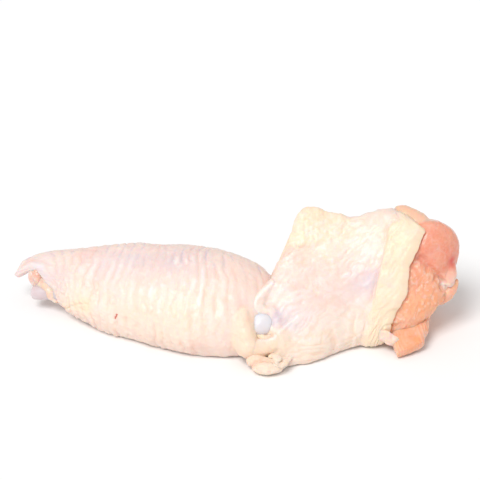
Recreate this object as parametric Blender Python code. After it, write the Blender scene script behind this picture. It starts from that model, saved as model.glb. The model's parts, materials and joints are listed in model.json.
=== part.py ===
"""Raw chicken wing without its tip: the flat and the drumette, joined at the elbow, lying on a table.

Six solids: the skin, the meat of the drumette, the meat of the flat, and the three bones that show
at the elbow and at the two cuts. Each surface is a loft: sections along a limb, each section a
closed curve of its own width and thickness. Lengths are in metres, Z is up and the table is Z = 0.
The drumette lies to the right (+X) with its skin panel turned to the front (-Y), the flat lies to
the left and runs back a little.
"""

import bmesh
import bpy
import numpy as np

MM = 0.001

# Origin of the finished part, below the middle of its box
CENTRE_X = -1.7 * MM
CENTRE_Y = 4.5 * MM

# Clear space kept between touching solids, and the thickness of the skin with its fat
GAP = 0.3 * MM
SKIN = 2.0 * MM
FLAT_SKIN = 1.6 * MM

# Height over which a round underside flattens onto the table
SETTLE = 1.2 * MM

# Share of a limb's length over which its direction is measured
SHARE_STEP = 0.004

# Colours and roughness of the four kinds of tissue
SKIN_LOOK = ((0.86, 0.69, 0.58), 0.35)
DRUMETTE_MEAT_LOOK = ((0.80, 0.36, 0.24), 0.30)
FLAT_MEAT_LOOK = ((0.82, 0.42, 0.32), 0.30)
BONE_LOOK = ((0.80, 0.76, 0.78), 0.28)

# Flat, from the cut at the tip to the elbow: share of its length, centre x, y, z, half width,
# half thickness
FLAT_STATIONS = [
    (0.00, -0.0722, 0.0257, 0.0105, 0.0067, 0.0059),
    (0.05, -0.0680, 0.0245, 0.0113, 0.0094, 0.0073),
    (0.15, -0.0598, 0.0214, 0.0125, 0.0124, 0.0093),
    (0.26, -0.0504, 0.0168, 0.0131, 0.0156, 0.0109),
    (0.50, -0.0288, 0.0078, 0.0139, 0.0198, 0.0130),
    (0.74, -0.0072, 0.0012, 0.0140, 0.0203, 0.0133),
    (0.90, 0.0079, -0.0006, 0.0132, 0.0165, 0.0110),
    (1.00, 0.0170, -0.0004, 0.0130, 0.0130, 0.0090),
]
FLAT_LENGTH = 0.092
# The flat's broad side leans back by this much
FLAT_ROLL = np.radians(35)
# Its section is an oval, a little squarer than an ellipse
FLAT_SQUARE = 0.92
# The elbow end of the flat is round over this share of its length
FLAT_ROUND = 0.14
# Cut at the wing tip: the lower front edge is cut back by this much
TIP_SLANT = 7.5 * MM
TIP_REACH = 0.16
# The flat's meat stands out past its skin by this much there, less slanted, and ends short of the elbow
FLAT_MEAT_REACH = 3.6 * MM
FLAT_MEAT_SLANT = 5.6 * MM
FLAT_MEAT_END = 0.94
# Cross folds of the flat's skin: broad crests between narrow grooves, uneven and swaying
FOLD_SPACING = 4.6 * MM
FOLD_HEIGHT = 0.6 * MM
FOLD_CREST = 0.7
FOLD_MEAN = 0.6
FOLD_UNEVEN = 0.3
FOLD_SWAY = (0.22, 0.30)
FOLD_START = 0.1
# Slack fold of skin along the flat's lower front edge: where it starts and ends, how near that edge
# it lies, and its height
SLACK_SHARE = (0.13, 0.17, 0.28, 0.46)
SLACK_BAND = (0.4, 0.8)
SLACK_HEIGHT = 1.3 * MM

# Drumette: share of its length, lower front edge x, y, z, upper edge x, y, z, bulge of the front,
# bulge of the back low down, bulge of the back at the upper edge
DRUMETTE_STATIONS = [
    (0.00, 0.0050, -0.0090, 0.0150, 0.0185, 0.0110, 0.0375, 0.0032, 0.0070, 0.0045),
    (0.12, 0.0100, -0.0180, 0.0040, 0.0222, 0.0175, 0.0434, 0.0044, 0.0120, 0.0075),
    (0.35, 0.0227, -0.0182, 0.0000, 0.0335, 0.0178, 0.0418, 0.0058, 0.0210, 0.0110),
    (0.60, 0.0360, -0.0088, 0.0000, 0.0445, 0.0175, 0.0422, 0.0078, 0.0270, 0.0160),
    (0.80, 0.0460, -0.0046, 0.0000, 0.0547, 0.0175, 0.0448, 0.0088, 0.0300, 0.0200),
    (1.00, 0.0547, -0.0040, 0.0006, 0.0662, 0.0135, 0.0430, 0.0092, 0.0300, 0.0225),
]
# How evenly a section's points are spread from edge to edge, and how full the section is
PANEL_EVEN = 0.9
PANEL_FULL = 0.75
# Levels between which the back's bulge passes from its low to its high value
BACK_FILL = (0.25, 0.95)
# The folded edge beside the elbow is round over this share of the length, blunt, and less high.
# The meat inside is round over a longer share.
EDGE_ROUND = 0.10
EDGE_BLUNT = 0.004
EDGE_TAPER = 0.25
CORE_ROUND = 0.30
# Notch in that edge, above a fold: the levels where it opens and closes, how far it closes, its
# depth and its reach
NOTCH_LEVELS = (0.69, 0.75, 0.78, 1.00)
NOTCH_CLOSE = 0.75
NOTCH_DEPTH = 3.2 * MM
NOTCH_REACH = 0.35
# Rolled hem of skin round the shoulder cut: where it starts, its wavy edge, how far it stands proud
# at the front and the share of that at the back
HEM_START = 0.78
HEM_SLOPE = 0.05
HEM_WAVE = 0.02
HEM_TURNS = 6
HEM_PROUD = 2.0 * MM
HEM_FULL = 0.6
HEM_BACK = 0.6
# The rim of the cut is hollowed between its upper and lower corner
RIM_HOLLOW = 2.2 * MM
RIM_START = 0.7

# Drumette meat: where it starts, how high it reaches there and at the cut, and the top of its dome
MEAT_START = 0.24
MEAT_HEIGHTS = [(0.24, 0.50), (0.50, 0.74), (0.80, 0.96), (1.00, 1.00)]
MEAT_END = 0.97
# Room that the hollows leave past the ends of the meat, as shares, and past the rim of the cut
MEAT_CLEAR = 0.008
FLAT_CLEAR = 0.006
MOUTH_REACH = 20 * MM
DOME_APEX = (0.0788, 0.0105, 0.0245)
DOME_POWER = 2.2
DOME_MIDDLE = (0.050, 0.012, 0.020)
# Lobes of the shoulder muscles on the dome: centre x, y, z, radius, height
MEAT_LOBES = [
    (0.0725, 0.0060, 0.0340, 0.0100, 0.0012),
    (0.0660, -0.0020, 0.0150, 0.0120, 0.0014),
    (0.0700, 0.0220, 0.0300, 0.0090, 0.0012),
    (0.0710, 0.0010, 0.0255, 0.0035, -0.0014),
]

# Bones and narrow folds: share of the length, centre x, y, z, half width, half height
HUMERUS_STATIONS = [
    (0.00, 0.0049, -0.0144, 0.0126, 0.0044, 0.0046),
    (0.06, 0.0086, -0.0110, 0.0132, 0.0045, 0.0047),
    (0.16, 0.0165, -0.0058, 0.0141, 0.0033, 0.0035),
    (0.50, 0.0408, 0.0034, 0.0158, 0.0031, 0.0031),
    (0.78, 0.0614, 0.0126, 0.0174, 0.0042, 0.0040),
    (0.90, 0.0702, 0.0166, 0.0181, 0.0066, 0.0066),
    (1.00, 0.0770, 0.0196, 0.0185, 0.0062, 0.0062),
]
ULNA_STATIONS = [
    (0.00, -0.0778, 0.0216, 0.0066, 0.0026, 0.0026),
    (0.07, -0.0724, 0.0202, 0.0074, 0.0029, 0.0028),
    (0.20, -0.0612, 0.0148, 0.0084, 0.0022, 0.0022),
    (0.50, -0.0360, 0.0030, 0.0098, 0.0024, 0.0024),
    (0.85, -0.0080, -0.0048, 0.0112, 0.0032, 0.0030),
    (1.00, -0.0004, -0.0066, 0.0122, 0.0034, 0.0032),
]
RADIUS_STATIONS = [
    (0.00, -0.0796, 0.0302, 0.0122, 0.0019, 0.0019),
    (0.07, -0.0740, 0.0284, 0.0126, 0.0020, 0.0020),
    (0.25, -0.0575, 0.0218, 0.0146, 0.0015, 0.0015),
    (0.55, -0.0300, 0.0130, 0.0172, 0.0016, 0.0016),
    (0.90, -0.0040, 0.0046, 0.0166, 0.0022, 0.0022),
    (1.00, 0.0026, 0.0018, 0.0158, 0.0023, 0.0023),
]
BONES = {"humerus": HUMERUS_STATIONS, "ulna": ULNA_STATIONS, "radius": RADIUS_STATIONS}
ELBOW_FLAP_STATIONS = [
    (0.00, 0.0014, -0.0106, 0.0166, 0.0025, 0.0032),
    (0.18, 0.0006, -0.0134, 0.0112, 0.0039, 0.0050),
    (0.38, 0.0028, -0.0160, 0.0078, 0.0045, 0.0060),
    (0.60, 0.0086, -0.0177, 0.0068, 0.0045, 0.0054),
    (0.80, 0.0170, -0.0164, 0.0068, 0.0042, 0.0048),
    (1.00, 0.0270, -0.0125, 0.0070, 0.0036, 0.0036),
]
ELBOW_LUMP_STATIONS = [
    (0.00, 0.0036, -0.0190, 0.0030, 0.0032, 0.0026),
    (0.35, 0.0080, -0.0216, 0.0030, 0.0037, 0.0030),
    (0.70, 0.0126, -0.0217, 0.0026, 0.0036, 0.0026),
    (1.00, 0.0184, -0.0192, 0.0024, 0.0030, 0.0022),
]
ELBOW_CURL_STATIONS = [
    (0.00, 0.0122, -0.0014, 0.0258, 0.0028, 0.0026),
    (0.35, 0.0102, -0.0056, 0.0234, 0.0033, 0.0031),
    (0.70, 0.0083, -0.0098, 0.0209, 0.0035, 0.0030),
    (1.00, 0.0089, -0.0122, 0.0191, 0.0026, 0.0020),
]
TIP_FLAP_STATIONS = [
    (0.00, -0.0670, 0.0254, 0.0178, 0.0034, 0.0020),
    (0.38, -0.0732, 0.0264, 0.0166, 0.0032, 0.0019),
    (0.72, -0.0790, 0.0270, 0.0142, 0.0024, 0.0015),
    (1.00, -0.0834, 0.0272, 0.0108, 0.0013, 0.0010),
]
TONGUE_STATIONS = [
    (0.00, 0.0656, 0.0060, 0.0076, 0.0048, 0.0032),
    (0.50, 0.0630, -0.0050, 0.0052, 0.0054, 0.0027),
    (1.00, 0.0612, -0.0144, 0.0028, 0.0056, 0.0021),
]

# Round lobes of flesh: centre x, y, z, half sizes along, across and up, turn about X, Y, Z
SHOULDER_ROLL = ((0.0632, 0.0186, 0.0392), (0.0070, 0.0044, 0.0048), (0, 34, -10))
SHOULDER_FLAP = ((0.0762, 0.0120, 0.0136), (0.0042, 0.0030, 0.0040), (0, 34, 0))

# A limb's ends are blunt, and a lobe is open by this angle at each pole, where the loft closes it
LIMB_BLUNT = 0.15
LOBE_POLE = 0.12

# Rows along and points round each loft
FLAT_GRID = (74, 26)
DRUMETTE_GRID = (36, 36)
CORE_GRID = (13, 24)
DOME_ROWS = 8
FLAT_MEAT_GRID = (22, 14)
LIMB_GRID = (14, 10)
LOBE_GRID = (7, 10)


def profile(stations, share):
    """Smooth values between stations: a cubic whose slope at each station is the mean slope there."""
    table = np.array(stations, float)
    knots = table[:, 0]
    values = table[:, 1:]
    slopes = np.gradient(values, knots, axis=0)
    share = np.clip(np.asarray(share, float), knots[0], knots[-1])
    index = np.clip(np.searchsorted(knots, share, side="right") - 1, 0, len(knots) - 2)
    span = (knots[index + 1] - knots[index])[:, None]
    t = (share - knots[index])[:, None] / span
    start = (1 + 2 * t) * (1 - t) ** 2 * values[index] + t * (1 - t) ** 2 * span * slopes[index]
    end = t * t * (3 - 2 * t) * values[index + 1] + t * t * (t - 1) * span * slopes[index + 1]
    return start + end


def unit(vectors):
    """Vectors scaled to length one."""
    return vectors / np.linalg.norm(vectors, axis=-1, keepdims=True)


def ease(value, low, high):
    """Rise from 0 to 1 between low and high, level at both ends."""
    t = np.clip((value - low) / (high - low), 0, 1)
    return t * t * (3 - 2 * t)


def signed_power(value, power):
    """Power of the size of a value, with the value's own sign."""
    return np.sign(value) * np.abs(value) ** power


def round_end(share, reach):
    """Height of a quarter circle over its first stretch: 0 at share 0 and 1 from reach on."""
    return np.sqrt(1 - np.clip(1 - share / reach, 0, 1) ** 2)


def settle(points, floor=0.0):
    """Points laid on a level floor: what would sink below it flattens, with a soft turn."""
    points = points.copy()
    height = points[..., 2] - floor
    soft = (height + SETTLE) ** 2 / (4 * SETTLE)
    height = np.where(height > SETTLE, height, np.where(height < -SETTLE, 0.0, soft))
    points[..., 2] = floor + height
    return points


def tangents(stations, share, columns):
    """Direction of a stations table's centre line at each share."""
    ahead = profile(stations, share + SHARE_STEP)[:, columns]
    behind = profile(stations, share - SHARE_STEP)[:, columns]
    return unit(ahead - behind)


def flat_axes(share):
    """Centre, direction along, wide direction and thick direction of the flat at each share."""
    centre = profile(FLAT_STATIONS, share)[:, :3]
    along = tangents(FLAT_STATIONS, share, slice(0, 3)) * [1, 1, 0]
    along = unit(along)
    side = np.stack([-along[:, 1], along[:, 0], 0 * along[:, 0]], 1)
    up = np.array([0.0, 0.0, 1.0])
    wide = np.cos(FLAT_ROLL) * side + np.sin(FLAT_ROLL) * up
    thick = np.cos(FLAT_ROLL) * up - np.sin(FLAT_ROLL) * side
    return centre, along, wide, thick


def flat_rings(rows, count, inset=0.0, slant=TIP_SLANT, reach=0.0, end=1.0):
    """Rings of the flat: rounded ovals along its axis, with the skin's cross folds on the outside.

    inset sinks the surface below the outer skin, slant cuts the tip's lower front edge back, reach
    carries the rings at the tip out past the cut, and end is the share where the elbow end closes.
    """
    share = np.linspace(0, end, rows)
    angle = np.linspace(0, 2 * np.pi, count, endpoint=False)[None]
    centre, along, wide, thick = flat_axes(share)
    sizes = profile(FLAT_STATIONS, share)
    round_off = round_end(end - share, FLAT_ROUND)
    half_width = ((sizes[:, 3] - inset) * round_off)[:, None]
    half_thick = ((sizes[:, 4] - inset) * round_off)[:, None]
    if inset == 0:
        round_sway, long_sway = FOLD_SWAY
        phase = share[:, None] * FLAT_LENGTH / FOLD_SPACING
        phase = phase + round_sway * np.sin(2 * angle + 1) + long_sway * np.sin(0.9 * phase + angle)
        height = FOLD_HEIGHT * (0.8 + FOLD_UNEVEN * np.sin(1.3 * phase + 3 * angle))
        fold = height * (np.abs(np.sin(np.pi * phase)) ** FOLD_CREST - FOLD_MEAN)
        start, full, fade, stop = SLACK_SHARE
        slack = (ease(share, start, full) * (1 - ease(share, fade, stop)))[:, None]
        fold = fold + SLACK_HEIGHT * slack * ease(-np.cos(angle), *SLACK_BAND)
        fold = fold * ease(share, 0, FOLD_START)[:, None] * round_off[:, None]
        half_width = half_width + fold
        half_thick = half_thick + fold
    across = half_width * signed_power(np.cos(angle), FLAT_SQUARE)
    through = half_thick * signed_power(np.sin(angle), FLAT_SQUARE)
    cut = (1 - ease(share, 0, TIP_REACH))[:, None]
    shift = -slant * cut * np.cos(angle) - reach * cut
    points = centre[:, None] + across[..., None] * wide[:, None] + through[..., None] * thick[:, None]
    points = points + shift[..., None] * along[:, None]
    return settle(points, inset)


def drumette_rings(rows, count, inset=0.0, start=0.0, end=1.0, heights=None):
    """Rings of the drumette: each a bowed panel from its lower front edge up to its upper edge.

    The panel bows a little to the front and far to the back, where it fills out low down. inset
    sinks the surface below the outer skin, and heights, where given, lowers the upper edge.
    """
    share = np.linspace(start, end, rows)
    angle = np.linspace(0, 2 * np.pi, count, endpoint=False)[None]
    sizes = profile(DRUMETTE_STATIONS, share)
    low = sizes[:, 0:3]
    high = sizes[:, 3:6]
    length = np.linalg.norm(high - low, axis=1)[:, None]
    rise = unit(high - low)
    ahead = profile(DRUMETTE_STATIONS, share + SHARE_STEP)
    behind = profile(DRUMETTE_STATIONS, share - SHARE_STEP)
    along = unit(ahead[:, 0:3] + ahead[:, 3:6] - behind[:, 0:3] - behind[:, 3:6])
    front = unit(np.cross(along, rise))
    front = np.where(front[:, 1:2] > 0, -front, front)
    reach = np.ones((rows, 1))
    if heights is not None:
        reach = profile(heights, share)
    level = 0.5 + 0.5 * signed_power(np.cos(angle), PANEL_EVEN)
    climb = inset + (reach * length - 2 * inset) * level
    level = climb / length
    swell = np.abs(np.sin(angle)) ** PANEL_FULL
    bow_front = (sizes[:, 6:7] - inset) * swell
    fill = 1 - ease(level, *BACK_FILL)
    bow_back = (sizes[:, 8:9] + (sizes[:, 7:8] - sizes[:, 8:9]) * fill - inset) * swell
    if inset == 0:
        wavy = share[:, None] + HEM_WAVE * np.sin(HEM_TURNS * level)
        hem = HEM_PROUD * ease(wavy, HEM_START, HEM_START + HEM_SLOPE) * swell ** HEM_FULL
        bow_front = bow_front + hem
        bow_back = bow_back + HEM_BACK * hem
    edge = EDGE_ROUND if inset == 0 else CORE_ROUND
    round_off = round_end(share - start + EDGE_BLUNT, edge)[:, None]
    bow = np.where(np.sin(angle) > 0, bow_front, -bow_back) * round_off
    climb = 0.5 * length + (climb - 0.5 * length) * (1 - EDGE_TAPER * (1 - round_off))
    points = low[:, None] + climb[..., None] * rise[:, None] + bow[..., None] * front[:, None]
    hollow = RIM_HOLLOW * np.sin(np.pi * np.clip(level, 0, 1)) * ease(share, RIM_START, 1)[:, None]
    opens, open_full, closes, closed = NOTCH_LEVELS
    notch = ease(level, opens, open_full) * (1 - NOTCH_CLOSE * ease(level, closes, closed))
    notch = NOTCH_DEPTH * notch * (1 - ease(share, 0, NOTCH_REACH))[:, None]
    points = points + (notch - hollow)[..., None] * along[:, None]
    return settle(points, inset)


def swell_lobes(points, lobes):
    """Points pushed out from the dome's middle by round lobes, or drawn in by a negative one."""
    outward = unit(points - np.array(DOME_MIDDLE))
    for x, y, z, radius, height in lobes:
        distance = np.linalg.norm(points - np.array([x, y, z]), axis=-1)
        points = points + outward * (height * np.exp(-(distance / radius) ** 2))[..., None]
    return points


def meat_rings():
    """Rings of the drumette's meat: a core inside the skin and a dome with muscle lobes past it."""
    core = drumette_rings(*CORE_GRID, SKIN + GAP, MEAT_START, MEAT_END, MEAT_HEIGHTS)
    rim = core[-1]
    middle = rim.mean(axis=0)
    turn = np.sin(np.linspace(0, np.pi / 2, DOME_ROWS + 1))[1:, None, None]
    narrow = (1 - turn ** DOME_POWER) ** (1 / DOME_POWER)
    apex = np.array(DOME_APEX)
    dome = middle + (rim - middle)[None] * narrow + (apex - middle)[None, None] * turn
    dome = swell_lobes(dome, MEAT_LOBES)
    return settle(np.concatenate([core, dome[:-1]]), GAP)


def limb_rings(stations, grow=0.0):
    """Rings of a bone or a narrow fold: oval sections along its line, both ends rounded."""
    rows, count = LIMB_GRID
    share = 0.5 - 0.5 * np.cos(np.linspace(0, np.pi, rows))
    share = 0.5 * share + 0.5 * np.linspace(0, 1, rows)
    angle = np.linspace(0, 2 * np.pi, count, endpoint=False)[None]
    sizes = profile(stations, share)
    along = tangents(stations, share, slice(0, 3))
    side = unit(np.cross(along, np.array([0.0, 0.0, 1.0])))
    lift = np.cross(side, along)
    length = np.linalg.norm(sizes[-1, :3] - sizes[0, :3])
    first = sizes[0, 4] / length
    last = sizes[-1, 4] / length
    round_off = round_end(share + LIMB_BLUNT * first, first) * round_end(1 - share + LIMB_BLUNT * last, last)
    round_off = round_off[:, None]
    centre = sizes[:, :3] + along * ((2 * share - 1) * grow)[:, None]
    across = (sizes[:, 3:4] + grow) * round_off * np.cos(angle)
    raised = (sizes[:, 4:5] + grow) * round_off * np.sin(angle)
    points = centre[:, None] + across[..., None] * side[:, None] + raised[..., None] * lift[:, None]
    return settle(points, GAP)


def lobe_rings(lobe, grow=0.0):
    """Rings of a rounded lobe: an ellipsoid with its half sizes, turned about X, Y and Z."""
    centre, half, turns = lobe
    rows, count = LOBE_GRID
    polar = np.linspace(LOBE_POLE, np.pi - LOBE_POLE, rows)[:, None]
    angle = np.linspace(0, 2 * np.pi, count, endpoint=False)[None]
    width = np.sin(polar)
    ball = np.stack([np.cos(polar) + 0 * angle, width * np.cos(angle), width * np.sin(angle)], -1)
    a, b, c = np.radians(turns)
    about_x = np.array([[1, 0, 0], [0, np.cos(a), -np.sin(a)], [0, np.sin(a), np.cos(a)]])
    about_y = np.array([[np.cos(b), 0, np.sin(b)], [0, 1, 0], [-np.sin(b), 0, np.cos(b)]])
    about_z = np.array([[np.cos(c), -np.sin(c), 0], [np.sin(c), np.cos(c), 0], [0, 0, 1]])
    points = ball * (np.array(half) + grow) @ (about_z @ about_y @ about_x).T + np.array(centre)
    return settle(points, GAP)


def loft(name, rings, collection):
    """Closed mesh through the rings, with a pole at each end, in the finished part's frame."""
    rows, count = rings.shape[:2]
    rings = rings - np.array([CENTRE_X, CENTRE_Y, 0.0])
    mesh = bpy.data.meshes.new(name)
    shell = bmesh.new()
    grid = [[shell.verts.new(point) for point in ring] for ring in rings.tolist()]
    for near, far in zip(grid, grid[1:]):
        for i in range(count):
            j = (i + 1) % count
            shell.faces.new((near[i], near[j], far[j], far[i]))
    for ring, place in ((grid[0], rings[0]), (grid[-1], rings[-1])):
        pole = shell.verts.new(place.mean(axis=0).tolist())
        for i in range(count):
            shell.faces.new((ring[i], ring[(i + 1) % count], pole))
    bmesh.ops.triangulate(shell, faces=shell.faces)
    bmesh.ops.recalc_face_normals(shell, faces=shell.faces)
    shell.to_mesh(mesh)
    shell.free()
    mesh.shade_smooth()
    piece = bpy.data.objects.new(name, mesh)
    collection.objects.link(piece)
    return piece


def united(piece, rings_by_name, collection):
    """The piece joined with further lofts by one applied Boolean union, the lofts then removed."""
    joined = bpy.data.collections.new(piece.name + " joined")
    bpy.context.scene.collection.children.link(joined)
    for name, rings in rings_by_name.items():
        loft(name, rings, joined)
    union = piece.modifiers.new("Union", "BOOLEAN")
    union.operation = "UNION"
    union.operand_type = "COLLECTION"
    union.collection = joined
    evaluated = piece.evaluated_get(bpy.context.evaluated_depsgraph_get())
    mesh = bpy.data.meshes.new_from_object(evaluated)
    mesh.name = piece.name
    piece.modifiers.clear()
    piece.data = mesh
    for extra in list(joined.objects):
        bpy.data.objects.remove(extra)
    bpy.data.collections.remove(joined)


def cut(piece, cutter):
    """A hollow in the piece, of the cutter's shape."""
    hollow = piece.modifiers.new("Cut by " + cutter.name, "BOOLEAN")
    hollow.operation = "DIFFERENCE"
    hollow.object = cutter


def cutter(name, rings, collection):
    """A loft that only cuts others."""
    piece = loft(name, rings, collection)
    piece.hide_render = True
    piece.display_type = "WIRE"
    return piece


def finish(piece, label, look):
    """Give the piece its material: colour and roughness."""
    colour, roughness = look
    material = bpy.data.materials.new(label)
    material.use_nodes = True
    shader = material.node_tree.nodes["Principled BSDF"]
    shader.inputs["Base Color"].default_value = (*colour, 1.0)
    shader.inputs["Roughness"].default_value = roughness
    shader.inputs["Metallic"].default_value = 0.0
    material.diffuse_color = (*colour, 1.0)
    piece.data.materials.clear()
    piece.data.materials.append(material)


def build_skin(parts, cutters, bones):
    """Skin of the flat and the drumette in one piece, open at both cuts and round the elbow's bone."""
    skin = loft("skin", drumette_rings(*DRUMETTE_GRID), parts)
    united(skin, {
        "flat skin": flat_rings(*FLAT_GRID),
        "elbow flap": limb_rings(ELBOW_FLAP_STATIONS),
        "elbow lump": limb_rings(ELBOW_LUMP_STATIONS),
        "elbow curl": limb_rings(ELBOW_CURL_STATIONS),
        "tip flap": limb_rings(TIP_FLAP_STATIONS),
    }, parts)
    inside = drumette_rings(*CORE_GRID, SKIN, MEAT_START - MEAT_CLEAR, MEAT_END, MEAT_HEIGHTS)
    outward = unit(np.array(DOME_APEX) - inside[-1].mean(axis=0))
    mouth = inside[-1:] + outward * MOUTH_REACH
    cut(skin, cutter("drumette hollow", np.concatenate([inside, mouth]), cutters))
    reach = FLAT_MEAT_REACH + GAP
    inside = flat_rings(*FLAT_MEAT_GRID, FLAT_SKIN, FLAT_MEAT_SLANT, reach, FLAT_MEAT_END + FLAT_CLEAR)
    cut(skin, cutter("flat hollow", inside, cutters))
    cut(skin, cutter("tongue hollow", limb_rings(TONGUE_STATIONS, GAP), cutters))
    cut(skin, cutter("shoulder roll hollow", lobe_rings(SHOULDER_ROLL, GAP), cutters))
    for bone in bones:
        cut(skin, bone)
    return skin


def build_drumette_meat(parts, bone):
    """Meat of the drumette, with its dome at the shoulder cut, round the upper bone."""
    meat = loft("drumette_meat", meat_rings(), parts)
    united(meat, {
        "tongue": limb_rings(TONGUE_STATIONS),
        "shoulder roll": lobe_rings(SHOULDER_ROLL),
        "shoulder flap": lobe_rings(SHOULDER_FLAP),
    }, parts)
    cut(meat, bone)
    return meat


def build_flat_meat(parts, bones):
    """Meat of the flat, round its two bones and clear of the upper one."""
    inside = flat_rings(*FLAT_MEAT_GRID, FLAT_SKIN + GAP, FLAT_MEAT_SLANT, FLAT_MEAT_REACH, FLAT_MEAT_END)
    meat = loft("flat_meat", inside, parts)
    for bone in bones:
        cut(meat, bone)
    return meat


def main():
    for old in list(bpy.data.objects):
        bpy.data.objects.remove(old)
    parts = bpy.data.collections.new("Raw chicken wing")
    cutters = bpy.data.collections.new("Cutters")
    bpy.context.scene.collection.children.link(parts)
    bpy.context.scene.collection.children.link(cutters)

    channels = {}
    for name, stations in BONES.items():
        bone = loft(name, limb_rings(stations), parts)
        finish(bone, "cartilage " + name, BONE_LOOK)
        channels[name] = cutter(name + " channel", limb_rings(stations, GAP), cutters)

    skin = build_skin(parts, cutters, channels.values())
    finish(skin, "raw skin", SKIN_LOOK)
    meat = build_drumette_meat(parts, channels["humerus"])
    finish(meat, "raw meat", DRUMETTE_MEAT_LOOK)
    flat_meat = build_flat_meat(parts, channels.values())
    finish(flat_meat, "raw meat of the flat", FLAT_MEAT_LOOK)


main()
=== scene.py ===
"""Raw chicken wing: skin, fat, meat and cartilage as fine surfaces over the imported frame.

Every surface is a closed loft worked out with numpy: rows run along a limb, columns run round it.
Tables of stations are in metres from the construction's own origin. Balls, lines and spots are in
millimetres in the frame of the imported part, and every piece ends up in that frame, in metres.
"""

import json

import bpy
import numpy as np
from bpy.props import FloatProperty, FloatVectorProperty, IntProperty, PointerProperty
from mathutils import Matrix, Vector

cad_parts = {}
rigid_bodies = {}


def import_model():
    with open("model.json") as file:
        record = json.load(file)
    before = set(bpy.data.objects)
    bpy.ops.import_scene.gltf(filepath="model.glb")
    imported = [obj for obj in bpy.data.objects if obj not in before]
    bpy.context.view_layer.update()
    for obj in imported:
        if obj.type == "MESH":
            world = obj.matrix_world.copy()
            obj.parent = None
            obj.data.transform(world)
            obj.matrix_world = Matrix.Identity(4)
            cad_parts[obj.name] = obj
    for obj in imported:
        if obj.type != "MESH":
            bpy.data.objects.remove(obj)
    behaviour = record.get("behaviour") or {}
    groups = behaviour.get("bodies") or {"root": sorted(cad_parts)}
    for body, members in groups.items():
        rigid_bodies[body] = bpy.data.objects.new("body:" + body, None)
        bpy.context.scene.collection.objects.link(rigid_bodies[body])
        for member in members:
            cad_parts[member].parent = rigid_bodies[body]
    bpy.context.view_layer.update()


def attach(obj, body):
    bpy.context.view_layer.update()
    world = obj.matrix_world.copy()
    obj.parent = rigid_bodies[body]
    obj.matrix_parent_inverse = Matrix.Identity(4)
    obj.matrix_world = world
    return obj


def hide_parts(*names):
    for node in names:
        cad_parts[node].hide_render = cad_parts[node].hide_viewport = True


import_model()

bl_info = {
    "name": "Raw chicken wing",
    "version": (1, 0, 0),
    "blender": (4, 5, 0),
    "location": "View3D > Sidebar > Wing",
    "description": "Skin, fat, meat and cartilage of a raw two-joint chicken wing",
    "category": "Add Mesh",
}

MM = 0.001
# The construction's own origin, measured from the finished part's
CENTRE = np.array([-1.7, 4.5, 0.0]) * MM

# Gap between neighbouring tissues, thickness of the drumette's skin and of the flat's, and height
# over which a surface settles on the floor
GAP = 0.3 * MM
SKIN = 2.0 * MM
FLAT_SKIN = 1.6 * MM
SETTLE = 1.2 * MM
# Share over which a direction is measured, steps by which skin finds its way out of balls, balls
# along a line, and a number of columns that never wraps round
SHARE_STEP = 0.004
WRAP_STEPS = 7
BALL_COUNT = 24
NO_WRAP = 1000

# Points of the three large surfaces: columns round the limb, then rows over its round end, along
# it, round the rim of the cut and back inside. The meat has columns and rows in its core.
FLAT_GRID = (322, 34, 252, 11, 8)
DRUMETTE_GRID = (404, 24, 162, 13, 6)
MEAT_GRID = (320, 44)
# Rows and columns of a bone, of the tongue of meat and of the column of flesh at the tip's cut
BONE_GRID = (130, 72)
TONGUE_GRID = (110, 120)
TIP_GRID = (170, 200)

# Flat, from the cut at the tip to the elbow: share of its length, centre x, y, z, half width,
# half thickness
FLAT_STATIONS = [
    (0.00, -0.0722, 0.0257, 0.0105, 0.0067, 0.0059),
    (0.05, -0.0680, 0.0245, 0.0113, 0.0094, 0.0073),
    (0.15, -0.0598, 0.0214, 0.0125, 0.0124, 0.0093),
    (0.26, -0.0504, 0.0168, 0.0131, 0.0156, 0.0109),
    (0.50, -0.0288, 0.0078, 0.0139, 0.0198, 0.0130),
    (0.74, -0.0072, 0.0012, 0.0140, 0.0203, 0.0133),
    (0.90, 0.0079, -0.0006, 0.0132, 0.0165, 0.0110),
    (1.00, 0.0170, -0.0004, 0.0130, 0.0130, 0.0090),
]
# Length in millimetres, roll about the axis, power of the ovals, share of the round end, slant of
# the cut and the share that it shifts, and share that the skin's inside runs back
FLAT_LENGTH = 92.0
FLAT_ROLL = np.radians(35)
FLAT_SQUARE = 0.92
FLAT_ROUND = 0.14
TIP_SLANT = 7.5 * MM
TIP_REACH = 0.16
FLAT_INNER = 0.14
# Rows from the cut over which the direction out of it is measured
CUT_ROWS = 20
# Slack skin on the lower side: shares where it starts, is full, fades and stops, the band round the
# flat over which it rises, and its height
SLACK_SHARE = (0.13, 0.17, 0.28, 0.46)
SLACK_BAND = (0.4, 0.8)
SLACK_HEIGHT = 1.3 * MM

# Drumette: share of its length, lower front edge x, y, z, upper edge x, y, z, bulge of the front,
# bulge of the back low down, bulge of the back at the upper edge
DRUMETTE_STATIONS = [
    (0.00, 0.0050, -0.0090, 0.0150, 0.0185, 0.0110, 0.0375, 0.0032, 0.0070, 0.0045),
    (0.12, 0.0100, -0.0180, 0.0040, 0.0222, 0.0175, 0.0434, 0.0044, 0.0120, 0.0075),
    (0.35, 0.0227, -0.0182, 0.0000, 0.0335, 0.0178, 0.0418, 0.0058, 0.0210, 0.0110),
    (0.60, 0.0360, -0.0088, 0.0000, 0.0445, 0.0175, 0.0422, 0.0078, 0.0270, 0.0160),
    (0.80, 0.0460, -0.0046, 0.0000, 0.0547, 0.0175, 0.0448, 0.0088, 0.0300, 0.0200),
    (1.00, 0.0547, -0.0040, 0.0006, 0.0662, 0.0135, 0.0430, 0.0092, 0.0300, 0.0225),
]
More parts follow.
